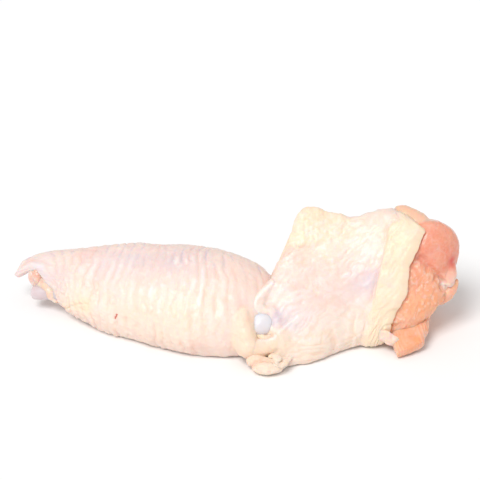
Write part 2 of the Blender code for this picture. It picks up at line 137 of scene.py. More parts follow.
# Length and height in millimetres, share of the folded end, and share where the skin's inside stops
DRUMETTE_LENGTH = 52.0
DRUMETTE_HEIGHT = 57.0
DRUMETTE_CAP = 0.06
DRUMETTE_INNER = 0.84
# Powers that space the panel's points and fill out its bow, levels between which the back's bow goes
# from its low value to its high one, and how the folded edge rounds off, starts blunt and tapers. The
# meat's core rounds off over a longer share.
PANEL_EVEN = 0.9
PANEL_FULL = 0.75
BACK_FILL = (0.25, 0.95)
EDGE_ROUND = 0.10
EDGE_BLUNT = 0.004
EDGE_TAPER = 0.25
CORE_ROUND = 0.30
# Notch in the folded edge: levels over which it opens and closes, how far it closes, its depth, and
# the share that it reaches
NOTCH_LEVELS = (0.69, 0.74, 0.77, 1.00)
NOTCH_CLOSE = 0.75
NOTCH_DEPTH = 3.2 * MM
NOTCH_REACH = 0.35
# Hollow of the rim at the cut, and the share where it starts
RIM_HOLLOW = 2.2 * MM
RIM_START = 0.7
# The drumette's meat: share where it would start, its height at shares, shares over which its relief
# comes up, share where it turns into the dome, and the dome's top and power
MEAT_START = 0.24
MEAT_HEIGHTS = [(0.24, 0.50), (0.50, 0.74), (0.80, 0.96), (1.00, 1.00)]
MEAT_SHOWN = (0.80, 0.86)
MEAT_END = 0.97
DOME_APEX = (0.0788, 0.0105, 0.0245)
DOME_POWER = 2.2

# Bones: share of the length, centre x, y, z, half width, half height
HUMERUS_STATIONS = [
    (0.00, 0.0042, -0.0149, 0.0126, 0.0044, 0.0046),
    (0.06, 0.0086, -0.0110, 0.0132, 0.0045, 0.0047),
    (0.16, 0.0165, -0.0058, 0.0141, 0.0033, 0.0035),
    (0.50, 0.0408, 0.0034, 0.0158, 0.0031, 0.0031),
    (0.78, 0.0614, 0.0126, 0.0174, 0.0042, 0.0040),
    (0.90, 0.0702, 0.0166, 0.0181, 0.0066, 0.0066),
    (1.00, 0.0770, 0.0196, 0.0185, 0.0062, 0.0062),
]
ULNA_STATIONS = [
    (0.00, -0.0778, 0.0216, 0.0066, 0.0026, 0.0026),
    (0.07, -0.0724, 0.0202, 0.0074, 0.0029, 0.0028),
    (0.20, -0.0612, 0.0148, 0.0084, 0.0022, 0.0022),
    (0.50, -0.0360, 0.0030, 0.0098, 0.0024, 0.0024),
    (0.85, -0.0080, -0.0048, 0.0112, 0.0032, 0.0030),
    (1.00, -0.0004, -0.0066, 0.0122, 0.0034, 0.0032),
]
RADIUS_STATIONS = [
    (0.00, -0.0796, 0.0302, 0.0122, 0.0019, 0.0019),
    (0.07, -0.0740, 0.0284, 0.0126, 0.0020, 0.0020),
    (0.25, -0.0575, 0.0218, 0.0146, 0.0015, 0.0015),
    (0.55, -0.0300, 0.0130, 0.0172, 0.0016, 0.0016),
    (0.90, -0.0040, 0.0046, 0.0166, 0.0022, 0.0022),
    (1.00, 0.0026, 0.0018, 0.0158, 0.0023, 0.0023),
]
# Length of a bone's round ends against their half height, and how stained it is
BONES = {
    "humerus": (HUMERUS_STATIONS, 1.0, 0.15),
    "ulna": (ULNA_STATIONS, 0.45, 0.75),
    "radius": (RADIUS_STATIONS, 0.45, 0.15),
}

# The elbow's lump of fat, the crinkled ribbon on it and the small pocket below the bone's end, each
# with the same columns as a bone
ELBOW_LUMP_STATIONS = [
    (0.00, 0.0034, -0.0188, 0.0042, 0.0020, 0.0024),
    (0.25, 0.0064, -0.0222, 0.0032, 0.0036, 0.0032),
    (0.55, 0.0108, -0.0237, 0.0029, 0.0040, 0.0029),
    (0.85, 0.0146, -0.0218, 0.0028, 0.0026, 0.0022),
    (1.00, 0.0176, -0.0192, 0.0032, 0.0010, 0.0012),
]
RIBBON_STATIONS = [
    (0.00, 0.0101, -0.0219, 0.0055, 0.0006, 0.0004),
    (0.15, 0.0119, -0.0214, 0.0060, 0.0012, 0.0006),
    (0.30, 0.0133, -0.0229, 0.0058, 0.0015, 0.0006),
    (0.45, 0.0126, -0.0246, 0.0054, 0.0010, 0.0006),
    (0.60, 0.0140, -0.0253, 0.0045, 0.0014, 0.0006),
    (0.75, 0.0158, -0.0240, 0.0042, 0.0011, 0.0006),
    (0.88, 0.0167, -0.0221, 0.0043, 0.0010, 0.0006),
    (1.00, 0.0184, -0.0201, 0.0046, 0.0005, 0.0003),
]
POCKET_STATIONS = [
    (0.00, 0.0061, -0.0152, 0.0111, 0.0008, 0.0006),
    (0.35, 0.0079, -0.0160, 0.0106, 0.0013, 0.0009),
    (0.70, 0.0101, -0.0160, 0.0104, 0.0013, 0.0009),
    (1.00, 0.0122, -0.0149, 0.0108, 0.0007, 0.0005),
]
# Rows, columns, heights of the large and small lumps in millimetres, and seed of each fold
ELBOW_FOLDS = {
    "elbow_lump": (ELBOW_LUMP_STATIONS, 150, 130, (0.45, 0.20), 120),
    "elbow_ribbon": (RIBBON_STATIONS, 160, 50, (0.45, 0.30), 130),
    "elbow_pocket": (POCKET_STATIONS, 80, 50, (0.40, 0.20), 140),
}

# Folds that the skin wraps over, as balls along a line: share, x, y, z and radius
ELBOW_FLAP = [(0.0, 3.3, -16.9, 17.9, 1.7), (0.16, 3.0, -18.5, 15.3, 3.1), (0.34, 3.7, -20.2, 11.2, 4.0),
              (0.54, 4.7, -21.9, 7.7, 4.6), (0.76, 9.6, -21.6, 7.3, 4.2), (1.0, 16.1, -20.3, 8.4, 3.4)]
ELBOW_CUFF = [(0.0, 13.2, -7.4, 25.5, 1.4), (0.25, 10.9, -9.4, 22.9, 2.0), (0.5, 9.1, -11.4, 20.3, 2.4),
              (0.7, 8.7, -13.0, 18.7, 2.5), (0.85, 10.2, -14.1, 17.9, 2.1), (1.0, 12.5, -14.6, 18.0, 1.5)]
ELBOW_SHEET = [(0.0, 13.6, -14.4, 17.0, 1.8), (0.35, 15.0, -16.5, 14.5, 2.2),
               (0.7, 14.8, -18.3, 11.8, 2.2), (1.0, 13.9, -19.9, 9.9, 1.8)]
TIP_FINGER = [(0.0, -75.4, 22.4, 15.8, 2.2), (0.5, -78.0, 22.5, 13.9, 1.8), (1.0, -80.6, 22.2, 11.8, 1.4)]
# The flat's skin covers the first stations of the elbow's flap. The drumette's skin covers it from a
# later ball on, a little lower, so that the two never lie in one place.
FLAT_FLAP_STATIONS = 4
DRUMETTE_FLAP_START = 14

# Lines on the elbow's skin and its lump as seen from the front: right and upward places
# Along the rim and the lip the skin is lightened as painted highlight, and in the pocket it is darkened as
# painted shade; the veil is a whitish membrane.
ELBOW_RIM = [(13.6, 18.4), (10.0, 15.5), (7.5, 12.2), (6.9, 9.4), (8.2, 7.4)]
ELBOW_LIP = [(8.5, -2.0), (11.1, -2.2), (13.9, -1.6), (16.5, 1.1), (19.7, 3.8), (22.6, 6.1)]
ELBOW_VEIL = [(12.5, 2.9), (13.4, 0.4), (15.0, -1.4)]
ELBOW_POCKET = [(7.8, -0.5), (10.7, -0.8), (13.2, -0.4)]
LUMP_LINE = [(4.8, -12.5), (7.0, -9.9), (10.0, -9.0), (13.0, -9.5), (15.8, -10.8)]

# Places at the tip where the skin is drawn out: the place, the way, a further drop, and the reach
TIP_PULL = ((-73.8, 23.2, 16.6), (-8.4, -0.4, -0.6), -5.8, 6.6)
RIM_PULL = ((-70.2, 17.0, 14.2), (-2.4, 0.5, 0.2), 0.0, 6.5)
CHIN_PULL = ((-66.8, 11.5, 7.0), (-4.4, 1.8, 0.3), 0.0, 10.5)

# Loose flesh at the shoulder, with the same columns as a bone: the tongue of meat below, the hook of
# the small flap beside the bone, and the shred of tissue below the hem
TONGUE_STATIONS = [
    (0.00, 0.0656, 0.0060, 0.0076, 0.0048, 0.0032),
    (0.50, 0.0620, -0.0050, 0.0052, 0.0064, 0.0030),
    (1.00, 0.0620, -0.0130, 0.0028, 0.0050, 0.0021),
]
# Slant of the tongue's far end, and the direction across its striations
TONGUE_SLANT = 0.55
TONGUE_GRAIN = (0.85, 0.25, 0.0)
FLAP_STATIONS = [
    (0.00, 0.0718, 0.0046, 0.0126, 0.0016, 0.0020),
    (0.35, 0.0750, 0.0050, 0.0156, 0.0028, 0.0028),
    (0.70, 0.0774, 0.0056, 0.0186, 0.0024, 0.0022),
    (1.00, 0.0796, 0.0060, 0.0216, 0.0009, 0.0009),
]
TISSUE_STATIONS = [
    (0.00, 0.0475, -0.0071, 0.0079, 0.0006, 0.0012),
    (0.35, 0.0508, -0.0087, 0.0072, 0.0008, 0.0022),
    (0.70, 0.0544, -0.0099, 0.0060, 0.0009, 0.0025),
    (1.00, 0.0580, -0.0106, 0.0046, 0.0007, 0.0016),
]

# Photograph's frame: width in pixels, size of a pixel at the wing, the angle that it looks down,
# how far its middle is up the front plane, and the camera's sensor in millimetres. The floor and the
# place of the key light are in metres.
IMAGE_SIZE = 480
PIXEL = 0.36 * MM
VIEW_ELEVATION = np.radians(30)
AIM_RISE = 36.1 * MM
AIM_HEIGHT = AIM_RISE / np.cos(VIEW_ELEVATION)
SENSOR = 36.0
FLOOR_HALF = 4
KEY_PLACE = (-0.30, -0.50, 0.80)
FRONT = np.array([0.0, -np.cos(VIEW_ELEVATION), np.sin(VIEW_ELEVATION)])


def unit(vectors):
    """Vectors scaled to length one."""
    return vectors / np.maximum(np.linalg.norm(vectors, axis=-1, keepdims=True), 1e-12)


def ease(value, low, high):
    """Rise from 0 to 1 between low and high, level at both ends: 3tt - 2ttt."""
    t = np.clip((value - low) / (high - low), 0, 1)
    return t * t * (3 - 2 * t)


def signed_power(value, power):
    """Power of the size of a value, with the value's own sign."""
    return np.sign(value) * np.abs(value) ** power


def round_end(share, reach):
    """Height of a quarter circle over its first stretch: 0 at share 0 and 1 from reach on."""
    return np.sqrt(1 - np.clip(1 - share / reach, 0, 1) ** 2)


def profile(stations, share):
    """Smooth values between stations: a cubic whose slope at each station is the mean slope there."""
    table = np.array(stations, float)
    knots = table[:, 0]
    values = table[:, 1:]
    slopes = np.gradient(values, knots, axis=0)
    share = np.clip(np.asarray(share, float), knots[0], knots[-1])
    index = np.clip(np.searchsorted(knots, share, side="right") - 1, 0, len(knots) - 2)
    span = (knots[index + 1] - knots[index])[:, None]
    t = (share - knots[index])[:, None] / span
    start = (1 + 2 * t) * (1 - t) ** 2 * values[index] + t * (1 - t) ** 2 * span * slopes[index]
    end = t * t * (3 - 2 * t) * values[index + 1] + t * t * (t - 1) * span * slopes[index + 1]
    return start + end


def settle(points, floor=0.0):
    """Points laid on a level floor: what would sink below it flattens, with a soft turn."""
    points = points.copy()
    height = points[..., 2] - floor
    soft = (height + SETTLE) ** 2 / (4 * SETTLE)
    height = np.where(height > SETTLE, height, np.where(height < -SETTLE, 0.0, soft))
    points[..., 2] = floor + height
    return points


def cell_value(x, y, z, seed):
    """A fixed value from -1 to 1 for each whole-numbered cell: its coordinates mixed and folded."""
    key = x * 73856093 ^ y * 19349663 ^ z * 83492791 ^ seed * 39916801
    key = (key ^ (key >> 13)) * 1274126177 & 0xFFFFFFFF
    key = (key ^ (key >> 15)) * 668265263 & 0xFFFFFFFF
    return (key ^ (key >> 16)) % 65536 / 32767.5 - 1


def noise(x, y, z=0.0, seed=0):
    """Smooth noise from -1 to 1: the eight cell values round each point, blended by 3tt - 2ttt."""
    x, y, z = np.broadcast_arrays(x, y, z)
    low = [np.floor(c).astype(np.int64) for c in (x, y, z)]
    t = [ease(c - f, 0, 1) for c, f in zip((x, y, z), low)]
    total = np.zeros(x.shape)
    for i in (0, 1):
        for j in (0, 1):
            for k in (0, 1):
                weight = (t[0] if i else 1 - t[0]) * (t[1] if j else 1 - t[1]) * (t[2] if k else 1 - t[2])
                total += weight * cell_value(low[0] + i, low[1] + j, low[2] + k, seed)
    return total


def crests(x, y, z=0.0, seed=0, sharp=1.0):
    """Soft folds between narrow grooves: the size of smooth noise, 0 in a groove, raised to a power."""
    return np.minimum(np.abs(noise(x, y, z, seed)) * 2.2, 1) ** sharp


def around(points, size, seed=0):
    """Smooth noise over the points' places, in cells of the given size in millimetres."""
    scaled = points / (size * MM)
    return noise(scaled[..., 0], scaled[..., 1], scaled[..., 2], seed)


def cells(u, v, columns, seed, wide, long):
    """One spot to a cell, shifted at random: the distance to the nearest spot and that spot's size.

    A distance of 1 is the spot's half width along u and half length along v. v wraps round after
    the given number of columns.
    """
    u, v = np.broadcast_arrays(u, v)
    nearest = np.full(u.shape, 9.0)
    size = np.zeros(u.shape)
    for i in (-1, 0, 1):
        for j in (-1, 0, 1):
            row = np.floor(u).astype(np.int64) + i
            column = np.floor(v).astype(np.int64) + j
            wrapped = column % columns
            shift_u = 0.5 + 0.18 * cell_value(row, wrapped, 0, seed)
            shift_v = 0.5 + 0.30 * cell_value(row, wrapped, 1, seed)
            gap = np.hypot((u - row - shift_u) / wide, (v - column - shift_v) / long)
            size = np.where(gap < nearest, cell_value(row, wrapped, 2, seed), size)
            nearest = np.minimum(nearest, gap)
    return nearest, size


def pimples(u, v, columns, seed, wide, long):
    """Rounded bumps, one to a cell: a bell over the distance to the spot, higher on larger spots."""
    gap, size = cells(u, v, columns, seed, wide, long)
    return (0.65 + 0.35 * size) * bell(gap, 1.0)


def patches(points, spots):
    """Sum of soft round spots, each x, y, z, radius in millimetres and strength, at most 1."""
    total = np.zeros(points.shape[:-1])
    for x, y, z, radius, strength in spots:
        distance = np.linalg.norm(points / MM - np.array([x, y, z]), axis=-1)
        total += strength * np.exp(-(distance / radius) ** 2)
    return np.clip(total, 0, 1)


def path_distance(points, path):
    """Distance in millimetres from each point to a line through the path's points."""
    places = points / MM
    nearest = np.full(points.shape[:-1], np.inf)
    for a, b in zip(path, path[1:]):
        a = np.array(a, float)
        step = np.array(b, float) - a
        t = np.clip(((places - a) @ step) / (step @ step), 0, 1)
        nearest = np.minimum(nearest, np.linalg.norm(places - a - t[..., None] * step, axis=-1))
    return nearest


def path_balls(path):
    """Balls along a line, from its stations: share, x, y, z and radius in millimetres."""
    return profile(path, np.linspace(0, 1, BALL_COUNT)) * MM


def ball_gap(points, balls):
    """Distance in metres from points to the nearest of the balls, below 0 inside one."""
    nearest = np.full(points.shape[:-1], np.inf)
    for x, y, z, radius in balls:
        nearest = np.minimum(nearest, np.linalg.norm(points - np.array([x, y, z]), axis=-1) - radius)
    return nearest


def wrap(points, normal, balls, soft):
    """Rise of a surface that wraps over balls, as one skin over both.

    The way out along the normal is stepped by the gap. With that way, or less the gap outside, as s
    the rise is max(s, 0) + max(soft - |s|, 0)^2 / (4 soft).
    """
    gap = ball_gap(points, balls)
    near = gap < soft
    places = points[near]
    lines = normal[near]
    way = np.zeros(len(places))
    for _ in range(WRAP_STEPS):
        way = way + np.maximum(-ball_gap(places + way[:, None] * lines, balls), 0)
    level = np.where(way > 0, way, -gap[near])
    rise = np.zeros(gap.shape)
    rise[near] = np.maximum(level, 0) + np.maximum(soft - np.abs(level), 0) ** 2 / (4 * soft)
    return rise


def steady(lines, reach, bias=(0.0, 0.0, 0.0)):
    """Directions averaged over the rows within reach of each, and turned towards a bias."""
    total = lines.copy()
    for step in range(1, reach + 1):
        total[step:] += lines[:-step]
        total[:-step] += lines[step:]
    return unit(unit(total) + np.array(bias))


def pull(points, place, way, drop, reach):
    """Points drawn out round a place: by way times f and by drop times f squared, f = (1 - dd/rr)^3."""
    distance = np.linalg.norm(points / MM - np.array(place), axis=-1)
    share = np.clip(1 - (distance / reach) ** 2, 0, 1) ** 3
    moved = points + share[..., None] * np.array(way) * MM
    moved[..., 2] += share ** 2 * drop * MM
    return moved


def front_plane(points):
    """Places as seen from the front, 30 degrees above: millimetres to the right and upwards."""
    rise = np.cos(VIEW_ELEVATION) * points[..., 2] + np.sin(VIEW_ELEVATION) * points[..., 1]
    return points[..., 0] / MM, rise / MM


def spot(right, rise, x, y, wide, high):
    """Soft oval spot in the front plane: 1 in its middle, 0 from its edge on."""
    return 1 - ease(np.hypot((right - x) / wide, (rise - y) / high), 0.35, 1.0)


def streaks(right, rise, degrees, spacing, length, seed):
    """Wrinkles in one direction of the front plane, each of about the given length, from -0.5 to 0.5."""
    turn = np.radians(degrees)
    run = right * np.cos(turn) + rise * np.sin(turn)
    over = rise * np.cos(turn) - right * np.sin(turn)
    over = over + 0.8 * spacing * noise(run / (0.7 * length), over / (2.5 * spacing), 0.0, seed + 1)
    return crests(over / spacing, run / length, 0.0, seed) - 0.5


def fold_relief(points, big, small, seed):
    """Height of a fold's lumps in millimetres, noise of two sizes and fine creases, and the creases."""
    places = points / MM
    folds = crests(places[..., 0] / 3.0, places[..., 1] / 3.0, places[..., 2] / 1.3, seed + 3) - 0.5
    height = big * around(points, 3.6, seed) + small * around(points, 1.4, seed + 1) + 0.5 * small * folds
    return height, folds


def bell(distance, width):
    """Soft bell: 1 on the line, falling to 0.37 at the width."""
    return np.exp(-(distance / width) ** 2)


def outward(rings):
    """Outward unit normals of rings: the cross product of the steps round and along."""
    step_round = np.roll(rings, -1, 1) - np.roll(rings, 1, 1)
    step_along = np.gradient(rings, axis=0)
    normal = unit(np.cross(step_round, step_along))
    side = ((rings - rings.mean(axis=1, keepdims=True)) * normal).sum(-1)
    return normal * np.sign(side.sum())


def tangents(stations, share, columns):
    """Direction of a stations table's centre line at each share."""
    ahead = profile(stations, share + SHARE_STEP)[:, columns]
    behind = profile(stations, share - SHARE_STEP)[:, columns]
    return unit(ahead - behind)


def flat_rings(share, angle, inset, reach):
    """The flat's smooth surface: ovals along its axis, cut at a slant at the tip.

    For each ring, inset sinks it below the outer skin and reach carries it out past the cut.
    """
    centre = profile(FLAT_STATIONS, share)[:, :3]
    along = unit(tangents(FLAT_STATIONS, share, slice(0, 3)) * [1, 1, 0])
    side = np.stack([-along[:, 1], along[:, 0], 0 * along[:, 0]], 1)
    up = np.array([0.0, 0.0, 1.0])
    wide = np.cos(FLAT_ROLL) * side + np.sin(FLAT_ROLL) * up
    thick = np.cos(FLAT_ROLL) * up - np.sin(FLAT_ROLL) * side
    sizes = profile(FLAT_STATIONS, share)
    round_off = round_end(1 - share, FLAT_ROUND)
    half_width = ((sizes[:, 3] - inset) * round_off)[:, None]
    half_thick = ((sizes[:, 4] - inset) * round_off)[:, None]
    start, full, fade, stop = SLACK_SHARE
    slack = (ease(share, start, full) * (1 - ease(share, fade, stop)) * (inset == 0))[:, None]
    slack = SLACK_HEIGHT * slack * ease(-np.cos(angle), *SLACK_BAND)
    across = (half_width + slack) * signed_power(np.cos(angle), FLAT_SQUARE)
    through = (half_thick + slack) * signed_power(np.sin(angle), FLAT_SQUARE)
    cut = (1 - ease(share, 0, TIP_REACH))[:, None]
    shift = -TIP_SLANT * cut * np.cos(angle) - reach[:, None] * cut
    points = centre[:, None] + across[..., None] * wide[:, None] + through[..., None] * thick[:, None]
    return points + shift[..., None] * along[:, None] - CENTRE


def drumette_rings(share, angle, inset=0.0, start=0.0, heights=None):
    """The drumette's smooth surface: each ring a bowed panel from its lower to its upper edge.

    The panel bows a little to the front and far to the back, where it fills out low down. Returns
    the points, the level of each point from lower edge to upper edge, and the direction along.
    """
    inset = np.broadcast_to(inset, share.shape)[:, None]
    sizes = profile(DRUMETTE_STATIONS, share)
    low = sizes[:, 0:3]
    high = sizes[:, 3:6]
    length = np.linalg.norm(high - low, axis=1)[:, None]
    rise = unit(high - low)
    ahead = profile(DRUMETTE_STATIONS, share + SHARE_STEP)
    behind = profile(DRUMETTE_STATIONS, share - SHARE_STEP)
    along = unit(ahead[:, 0:3] + ahead[:, 3:6] - behind[:, 0:3] - behind[:, 3:6])
    front = unit(np.cross(along, rise))
    front = np.where(front[:, 1:2] > 0, -front, front)
    reach = 1.0 if heights is None else profile(heights, share)
    level = 0.5 + 0.5 * signed_power(np.cos(angle), PANEL_EVEN)
    climb = inset + (reach * length - 2 * inset) * level
    level = climb / length
    swell = np.abs(np.sin(angle)) ** PANEL_FULL
    bow_front = (sizes[:, 6:7] - inset) * swell
    fill = 1 - ease(level, *BACK_FILL)
    bow_back = (sizes[:, 8:9] + (sizes[:, 7:8] - sizes[:, 8:9]) * fill - inset) * swell
    edge = np.where(inset == 0, EDGE_ROUND, CORE_ROUND)
    round_off = round_end(share[:, None] - start + EDGE_BLUNT, edge)
    bow = np.where(np.sin(angle) > 0, bow_front, -bow_back) * round_off
    climb = 0.5 * length + (climb - 0.5 * length) * (1 - EDGE_TAPER * (1 - round_off))
    points = low[:, None] + climb[..., None] * rise[:, None] + bow[..., None] * front[:, None]
    hollow = RIM_HOLLOW * np.sin(np.pi * np.clip(level, 0, 1)) * ease(share, RIM_START, 1)[:, None]
    opens, open_full, closes, closed = NOTCH_LEVELS
    notch = ease(level, opens, open_full) * (1 - NOTCH_CLOSE * ease(level, closes, closed))
    notch = NOTCH_DEPTH * notch * (1 - ease(share, 0, NOTCH_REACH))[:, None]
    points = points + (notch - hollow)[..., None] * along[:, None]
    return points - CENTRE, level, along


def limb_rings(stations, rows, count, blunt=1.0):
    """A bone or a narrow fold: oval sections along its line, both ends rounded.

    blunt is the length of the round end against its half height: less than 1 is a flatter end.
    """
    share = 0.5 - 0.5 * np.cos(np.linspace(0, np.pi, rows))
    share = 0.5 * share + 0.5 * np.linspace(0, 1, rows)
    angle = np.linspace(0, 2 * np.pi, count, endpoint=False)[None]
    sizes = profile(stations, share)
    along = tangents(stations, share, slice(0, 3))
    side = unit(np.cross(along, np.array([0.0, 0.0, 1.0])))
    lift = np.cross(side, along)
    length = np.linalg.norm(sizes[-1, :3] - sizes[0, :3])
    first = blunt * sizes[0, 4] / length
    last = blunt * sizes[-1, 4] / length
    round_off = (round_end(share + 0.02 * first, first) * round_end(1 - share + 0.02 * last, last))[:, None]
    across = sizes[:, 3:4] * round_off * np.cos(angle)
    raised = sizes[:, 4:5] * round_off * np.sin(angle)
    points = sizes[:, None, :3] + across[..., None] * side[:, None] + raised[..., None] * lift[:, None]
    return points - CENTRE


def grid_piece(name, rings, masks, material, nodes):
    """A closed mesh through the rings with a pole at each end, its masks, its material and its place.

    Quads join each ring to the next and triangles close the first and the last ring.
    """
    rows, count = rings.shape[:2]
    poles = np.stack([rings[0].mean(axis=0), rings[-1].mean(axis=0)])
    points = np.concatenate([rings.reshape(-1, 3), poles])
    row = np.arange(rows - 1)[:, None] * count
    near = np.arange(count)[None]
    far = (near + 1) % count
    quads = np.stack([row + near, row + far, row + count + far, row + count + near], -1).reshape(-1, 4)
    first = np.stack([far[0], near[0], np.full(count, rows * count)], -1)
    base = (rows - 1) * count
    last = np.stack([base + near[0], base + far[0], np.full(count, rows * count + 1)], -1)
    ends = np.concatenate([first, last])
    corner = points[np.concatenate([quads[:, :3], quads[:, [0, 2, 3]], ends])]
    volume = np.einsum("ij,ij->i", corner[:, 0], np.cross(corner[:, 1], corner[:, 2])).sum()
    if volume < 0:
        quads = quads[:, ::-1]
        ends = ends[:, ::-1]
    loops = np.concatenate([quads.ravel(), ends.ravel()]).astype(np.int32)
    sizes = np.concatenate([np.full(len(quads), 4), np.full(len(ends), 3)])
    starts = np.concatenate([[0], np.cumsum(sizes)[:-1]]).astype(np.int32)
    mesh = bpy.data.meshes.new(name)
    mesh.vertices.add(len(points))
    mesh.vertices.foreach_set("co", points.astype(np.float32).ravel())
    mesh.loops.add(len(loops))
    mesh.loops.foreach_set("vertex_index", loops)
    mesh.polygons.add(len(sizes))
    mesh.polygons.foreach_set("loop_start", starts)
    mesh.update(calc_edges=True)
    mesh.validate()
    mesh.shade_smooth()
    for label, values in masks.items():
        values = np.broadcast_to(values, (rows, count))
        values = np.concatenate([values.ravel(), [values[0].mean(), values[-1].mean()]])
        layer = mesh.attributes.new(label, "FLOAT", "POINT")
        layer.data.foreach_set("value", np.clip(values, 0, 1).astype(np.float32))
    mesh.materials.append(material)
    piece = bpy.data.objects.new(name, mesh)
    bpy.context.scene.collection.objects.link(piece)
    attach(piece, "root")
    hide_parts(*nodes)
    return piece


class WingSkinSettings(bpy.types.PropertyGroup):
    """Sizes and colours of the skin and the fat below it."""

    ridge_spacing: FloatProperty(
        name="Ridge spacing", description="Distance between the flat's cross ridges",
        default=3.4 * MM, min=0.001, unit="LENGTH")
    ridge_height: FloatProperty(
        name="Ridge height", description="Height of the flat's cross ridges",
        default=0.42 * MM, min=0.0, unit="LENGTH")
    wrinkle_height: FloatProperty(
        name="Wrinkle height", description="Height of the drumette's fine wrinkles",
        default=0.30 * MM, min=0.0, unit="LENGTH")
    hem_height: FloatProperty(
        name="Hem height", description="How far the rolled hem stands out at the shoulder cut",
        default=2.1 * MM, min=0.0, unit="LENGTH")
    cream: FloatVectorProperty(
        name="Cream", description="Colour of plain skin", subtype="COLOR", size=3,
        default=(0.905, 0.735, 0.655), min=0, max=1)
    fat: FloatVectorProperty(
        name="Fat", description="Colour of skin over thick fat", subtype="COLOR", size=3,
        default=(0.930, 0.745, 0.550), min=0, max=1)
    # Flush also deepens grooves and the flat's top, partly as painted shade.
    flush: FloatVectorProperty(
        name="Flush", description="Colour of thin skin over meat", subtype="COLOR", size=3,
        default=(0.860, 0.620, 0.560), min=0, max=1)
    # Cool also marks the flat's dark dashes, and on the flat's top it is partly painted shade.
    cool: FloatVectorProperty(
        name="Cool", description="Colour of thin skin over cartilage and veins", subtype="COLOR", size=3,
        default=(0.740, 0.630, 0.670), min=0, max=1)
    # The groove colour is painted shade in creases, grooves, the pocket and along the flap's edge, and the
    # warm tint of cut edges and of the hem's blotches.
    groove: FloatVectorProperty(
        name="Groove", description="Colour down in folds and at cut edges", subtype="COLOR", size=3,
        default=(0.880, 0.540, 0.380), min=0, max=1)
    # The pale colour is mostly painted highlight on ridge and wrinkle tops, on bright spots and on the bright
    # edges of the curl and the lip; it also gives the veil beside the knob its whitish tone.
    pale: FloatVectorProperty(
        name="Pale", description="Colour of taut, dry skin on raised spots", subtype="COLOR", size=3,
        default=(0.930, 0.870, 0.835), min=0, max=1)
    blood: FloatVectorProperty(
        name="Blood", description="Colour of a nick in the skin", subtype="COLOR", size=3,
        default=(0.620, 0.050, 0.030), min=0, max=1)


class WingMeatSettings(bpy.types.PropertyGroup):
    """Colours of the meat at the two cuts."""

    rows: IntProperty(name="Rows", description="Rows of points over the shoulder's meat", default=190, min=20)
    orange: FloatVectorProperty(
        name="Orange meat", description="Colour of the lower muscle", subtype="COLOR", size=3,
        default=(0.930, 0.385, 0.180), min=0, max=1)
    # Pink also deepens the crease between the muscles and the meat by the hem, partly as painted shade.
    pink: FloatVectorProperty(
        name="Pink meat", description="Colour of the upper muscle and the tip's flesh", subtype="COLOR",
        size=3, default=(0.810, 0.255, 0.160), min=0, max=1)
    membrane: FloatVectorProperty(
        name="Membrane", description="Colour of the thin tissue over muscle", subtype="COLOR", size=3,
        default=(0.880, 0.540, 0.380), min=0, max=1)
    fascia: FloatVectorProperty(
        name="Fascia", description="Colour of the white lines between muscles", subtype="COLOR", size=3,
        default=(0.930, 0.800, 0.740), min=0, max=1)
    red: FloatVectorProperty(
        name="Red", description="Colour of bloody spots", subtype="COLOR", size=3,
        default=(0.750, 0.080, 0.060), min=0, max=1)


class WingBoneSettings(bpy.types.PropertyGroup):
    """Colours of the cartilage at the elbow and at both cuts."""

    cartilage: FloatVectorProperty(
        name="Cartilage", description="Colour of a clean joint end", subtype="COLOR", size=3,
        default=(0.830, 0.850, 0.890), min=0, max=1)
    stain: FloatVectorProperty(
        name="Stain", description="Colour of a bone end with tissue on it", subtype="COLOR", size=3,
        default=(0.640, 0.490, 0.500), min=0, max=1)


class WingStageSettings(bpy.types.PropertyGroup):
    """Floor, light and camera."""

    floor_colour: FloatVectorProperty(
        name="Floor", description="Colour of the floor", subtype="COLOR", size=3,
        default=(0.94, 0.94, 0.94), min=0, max=1)
    sky: FloatProperty(name="Surround", description="Strength of the white surround", default=0.60, min=0)
    key: FloatProperty(
        name="Key light", description="Strength of the broad light above the camera", default=1.9, min=0)
    key_spread: FloatProperty(
        name="Key spread", description="Angle over which the broad light is spread",
        default=np.radians(28), min=0, subtype="ANGLE")
    lens: FloatProperty(name="Lens", description="Focal length in millimetres", default=200.0, min=10)


def colour_of(value):
    """A colour with full alpha."""
    return (*value, 1.0)


def input_value(tree, socket, value):
    """Give a socket a value, or link it where the value is another socket."""
    if isinstance(value, bpy.types.NodeSocket):
        tree.links.new(value, socket)
    else:
        socket.default_value = value


def math_node(tree, operation, first, second=0.0, clamp=False):
    """One Math node and its result."""
    node = tree.nodes.new("ShaderNodeMath")
    node.operation = operation
    node.use_clamp = clamp
    input_value(tree, node.inputs[0], first)
    input_value(tree, node.inputs[1], second)
    return node.outputs[0]


def mix_node(tree, factor, first, second):
    """One colour Mix node and its result."""
    node = tree.nodes.new("ShaderNodeMix")
    node.data_type = "RGBA"
    input_value(tree, node.inputs[0], factor)
    input_value(tree, node.inputs[6], first)
    input_value(tree, node.inputs[7], second)
    return node.outputs[2]


def mask_node(tree, label):
    """The value of a mask painted on the points."""
    node = tree.nodes.new("ShaderNodeAttribute")
    node.attribute_name = label
    return node.outputs["Fac"]


def object_vector(tree):
    """Places in the finished part's own frame."""
    return tree.nodes.new("ShaderNodeTexCoord").outputs["Object"]


def noise_node(tree, vector, scale, detail=2.0, rough=0.5, seed=0.0):
    """One Noise node over the places."""
    node = tree.nodes.new("ShaderNodeTexNoise")
    node.noise_dimensions = "4D"
    input_value(tree, node.inputs["Vector"], vector)
    input_value(tree, node.inputs["Scale"], scale)
    node.inputs["W"].default_value = seed
    node.inputs["Detail"].default_value = detail
    node.inputs["Roughness"].default_value = rough
    return node.outputs["Fac"]


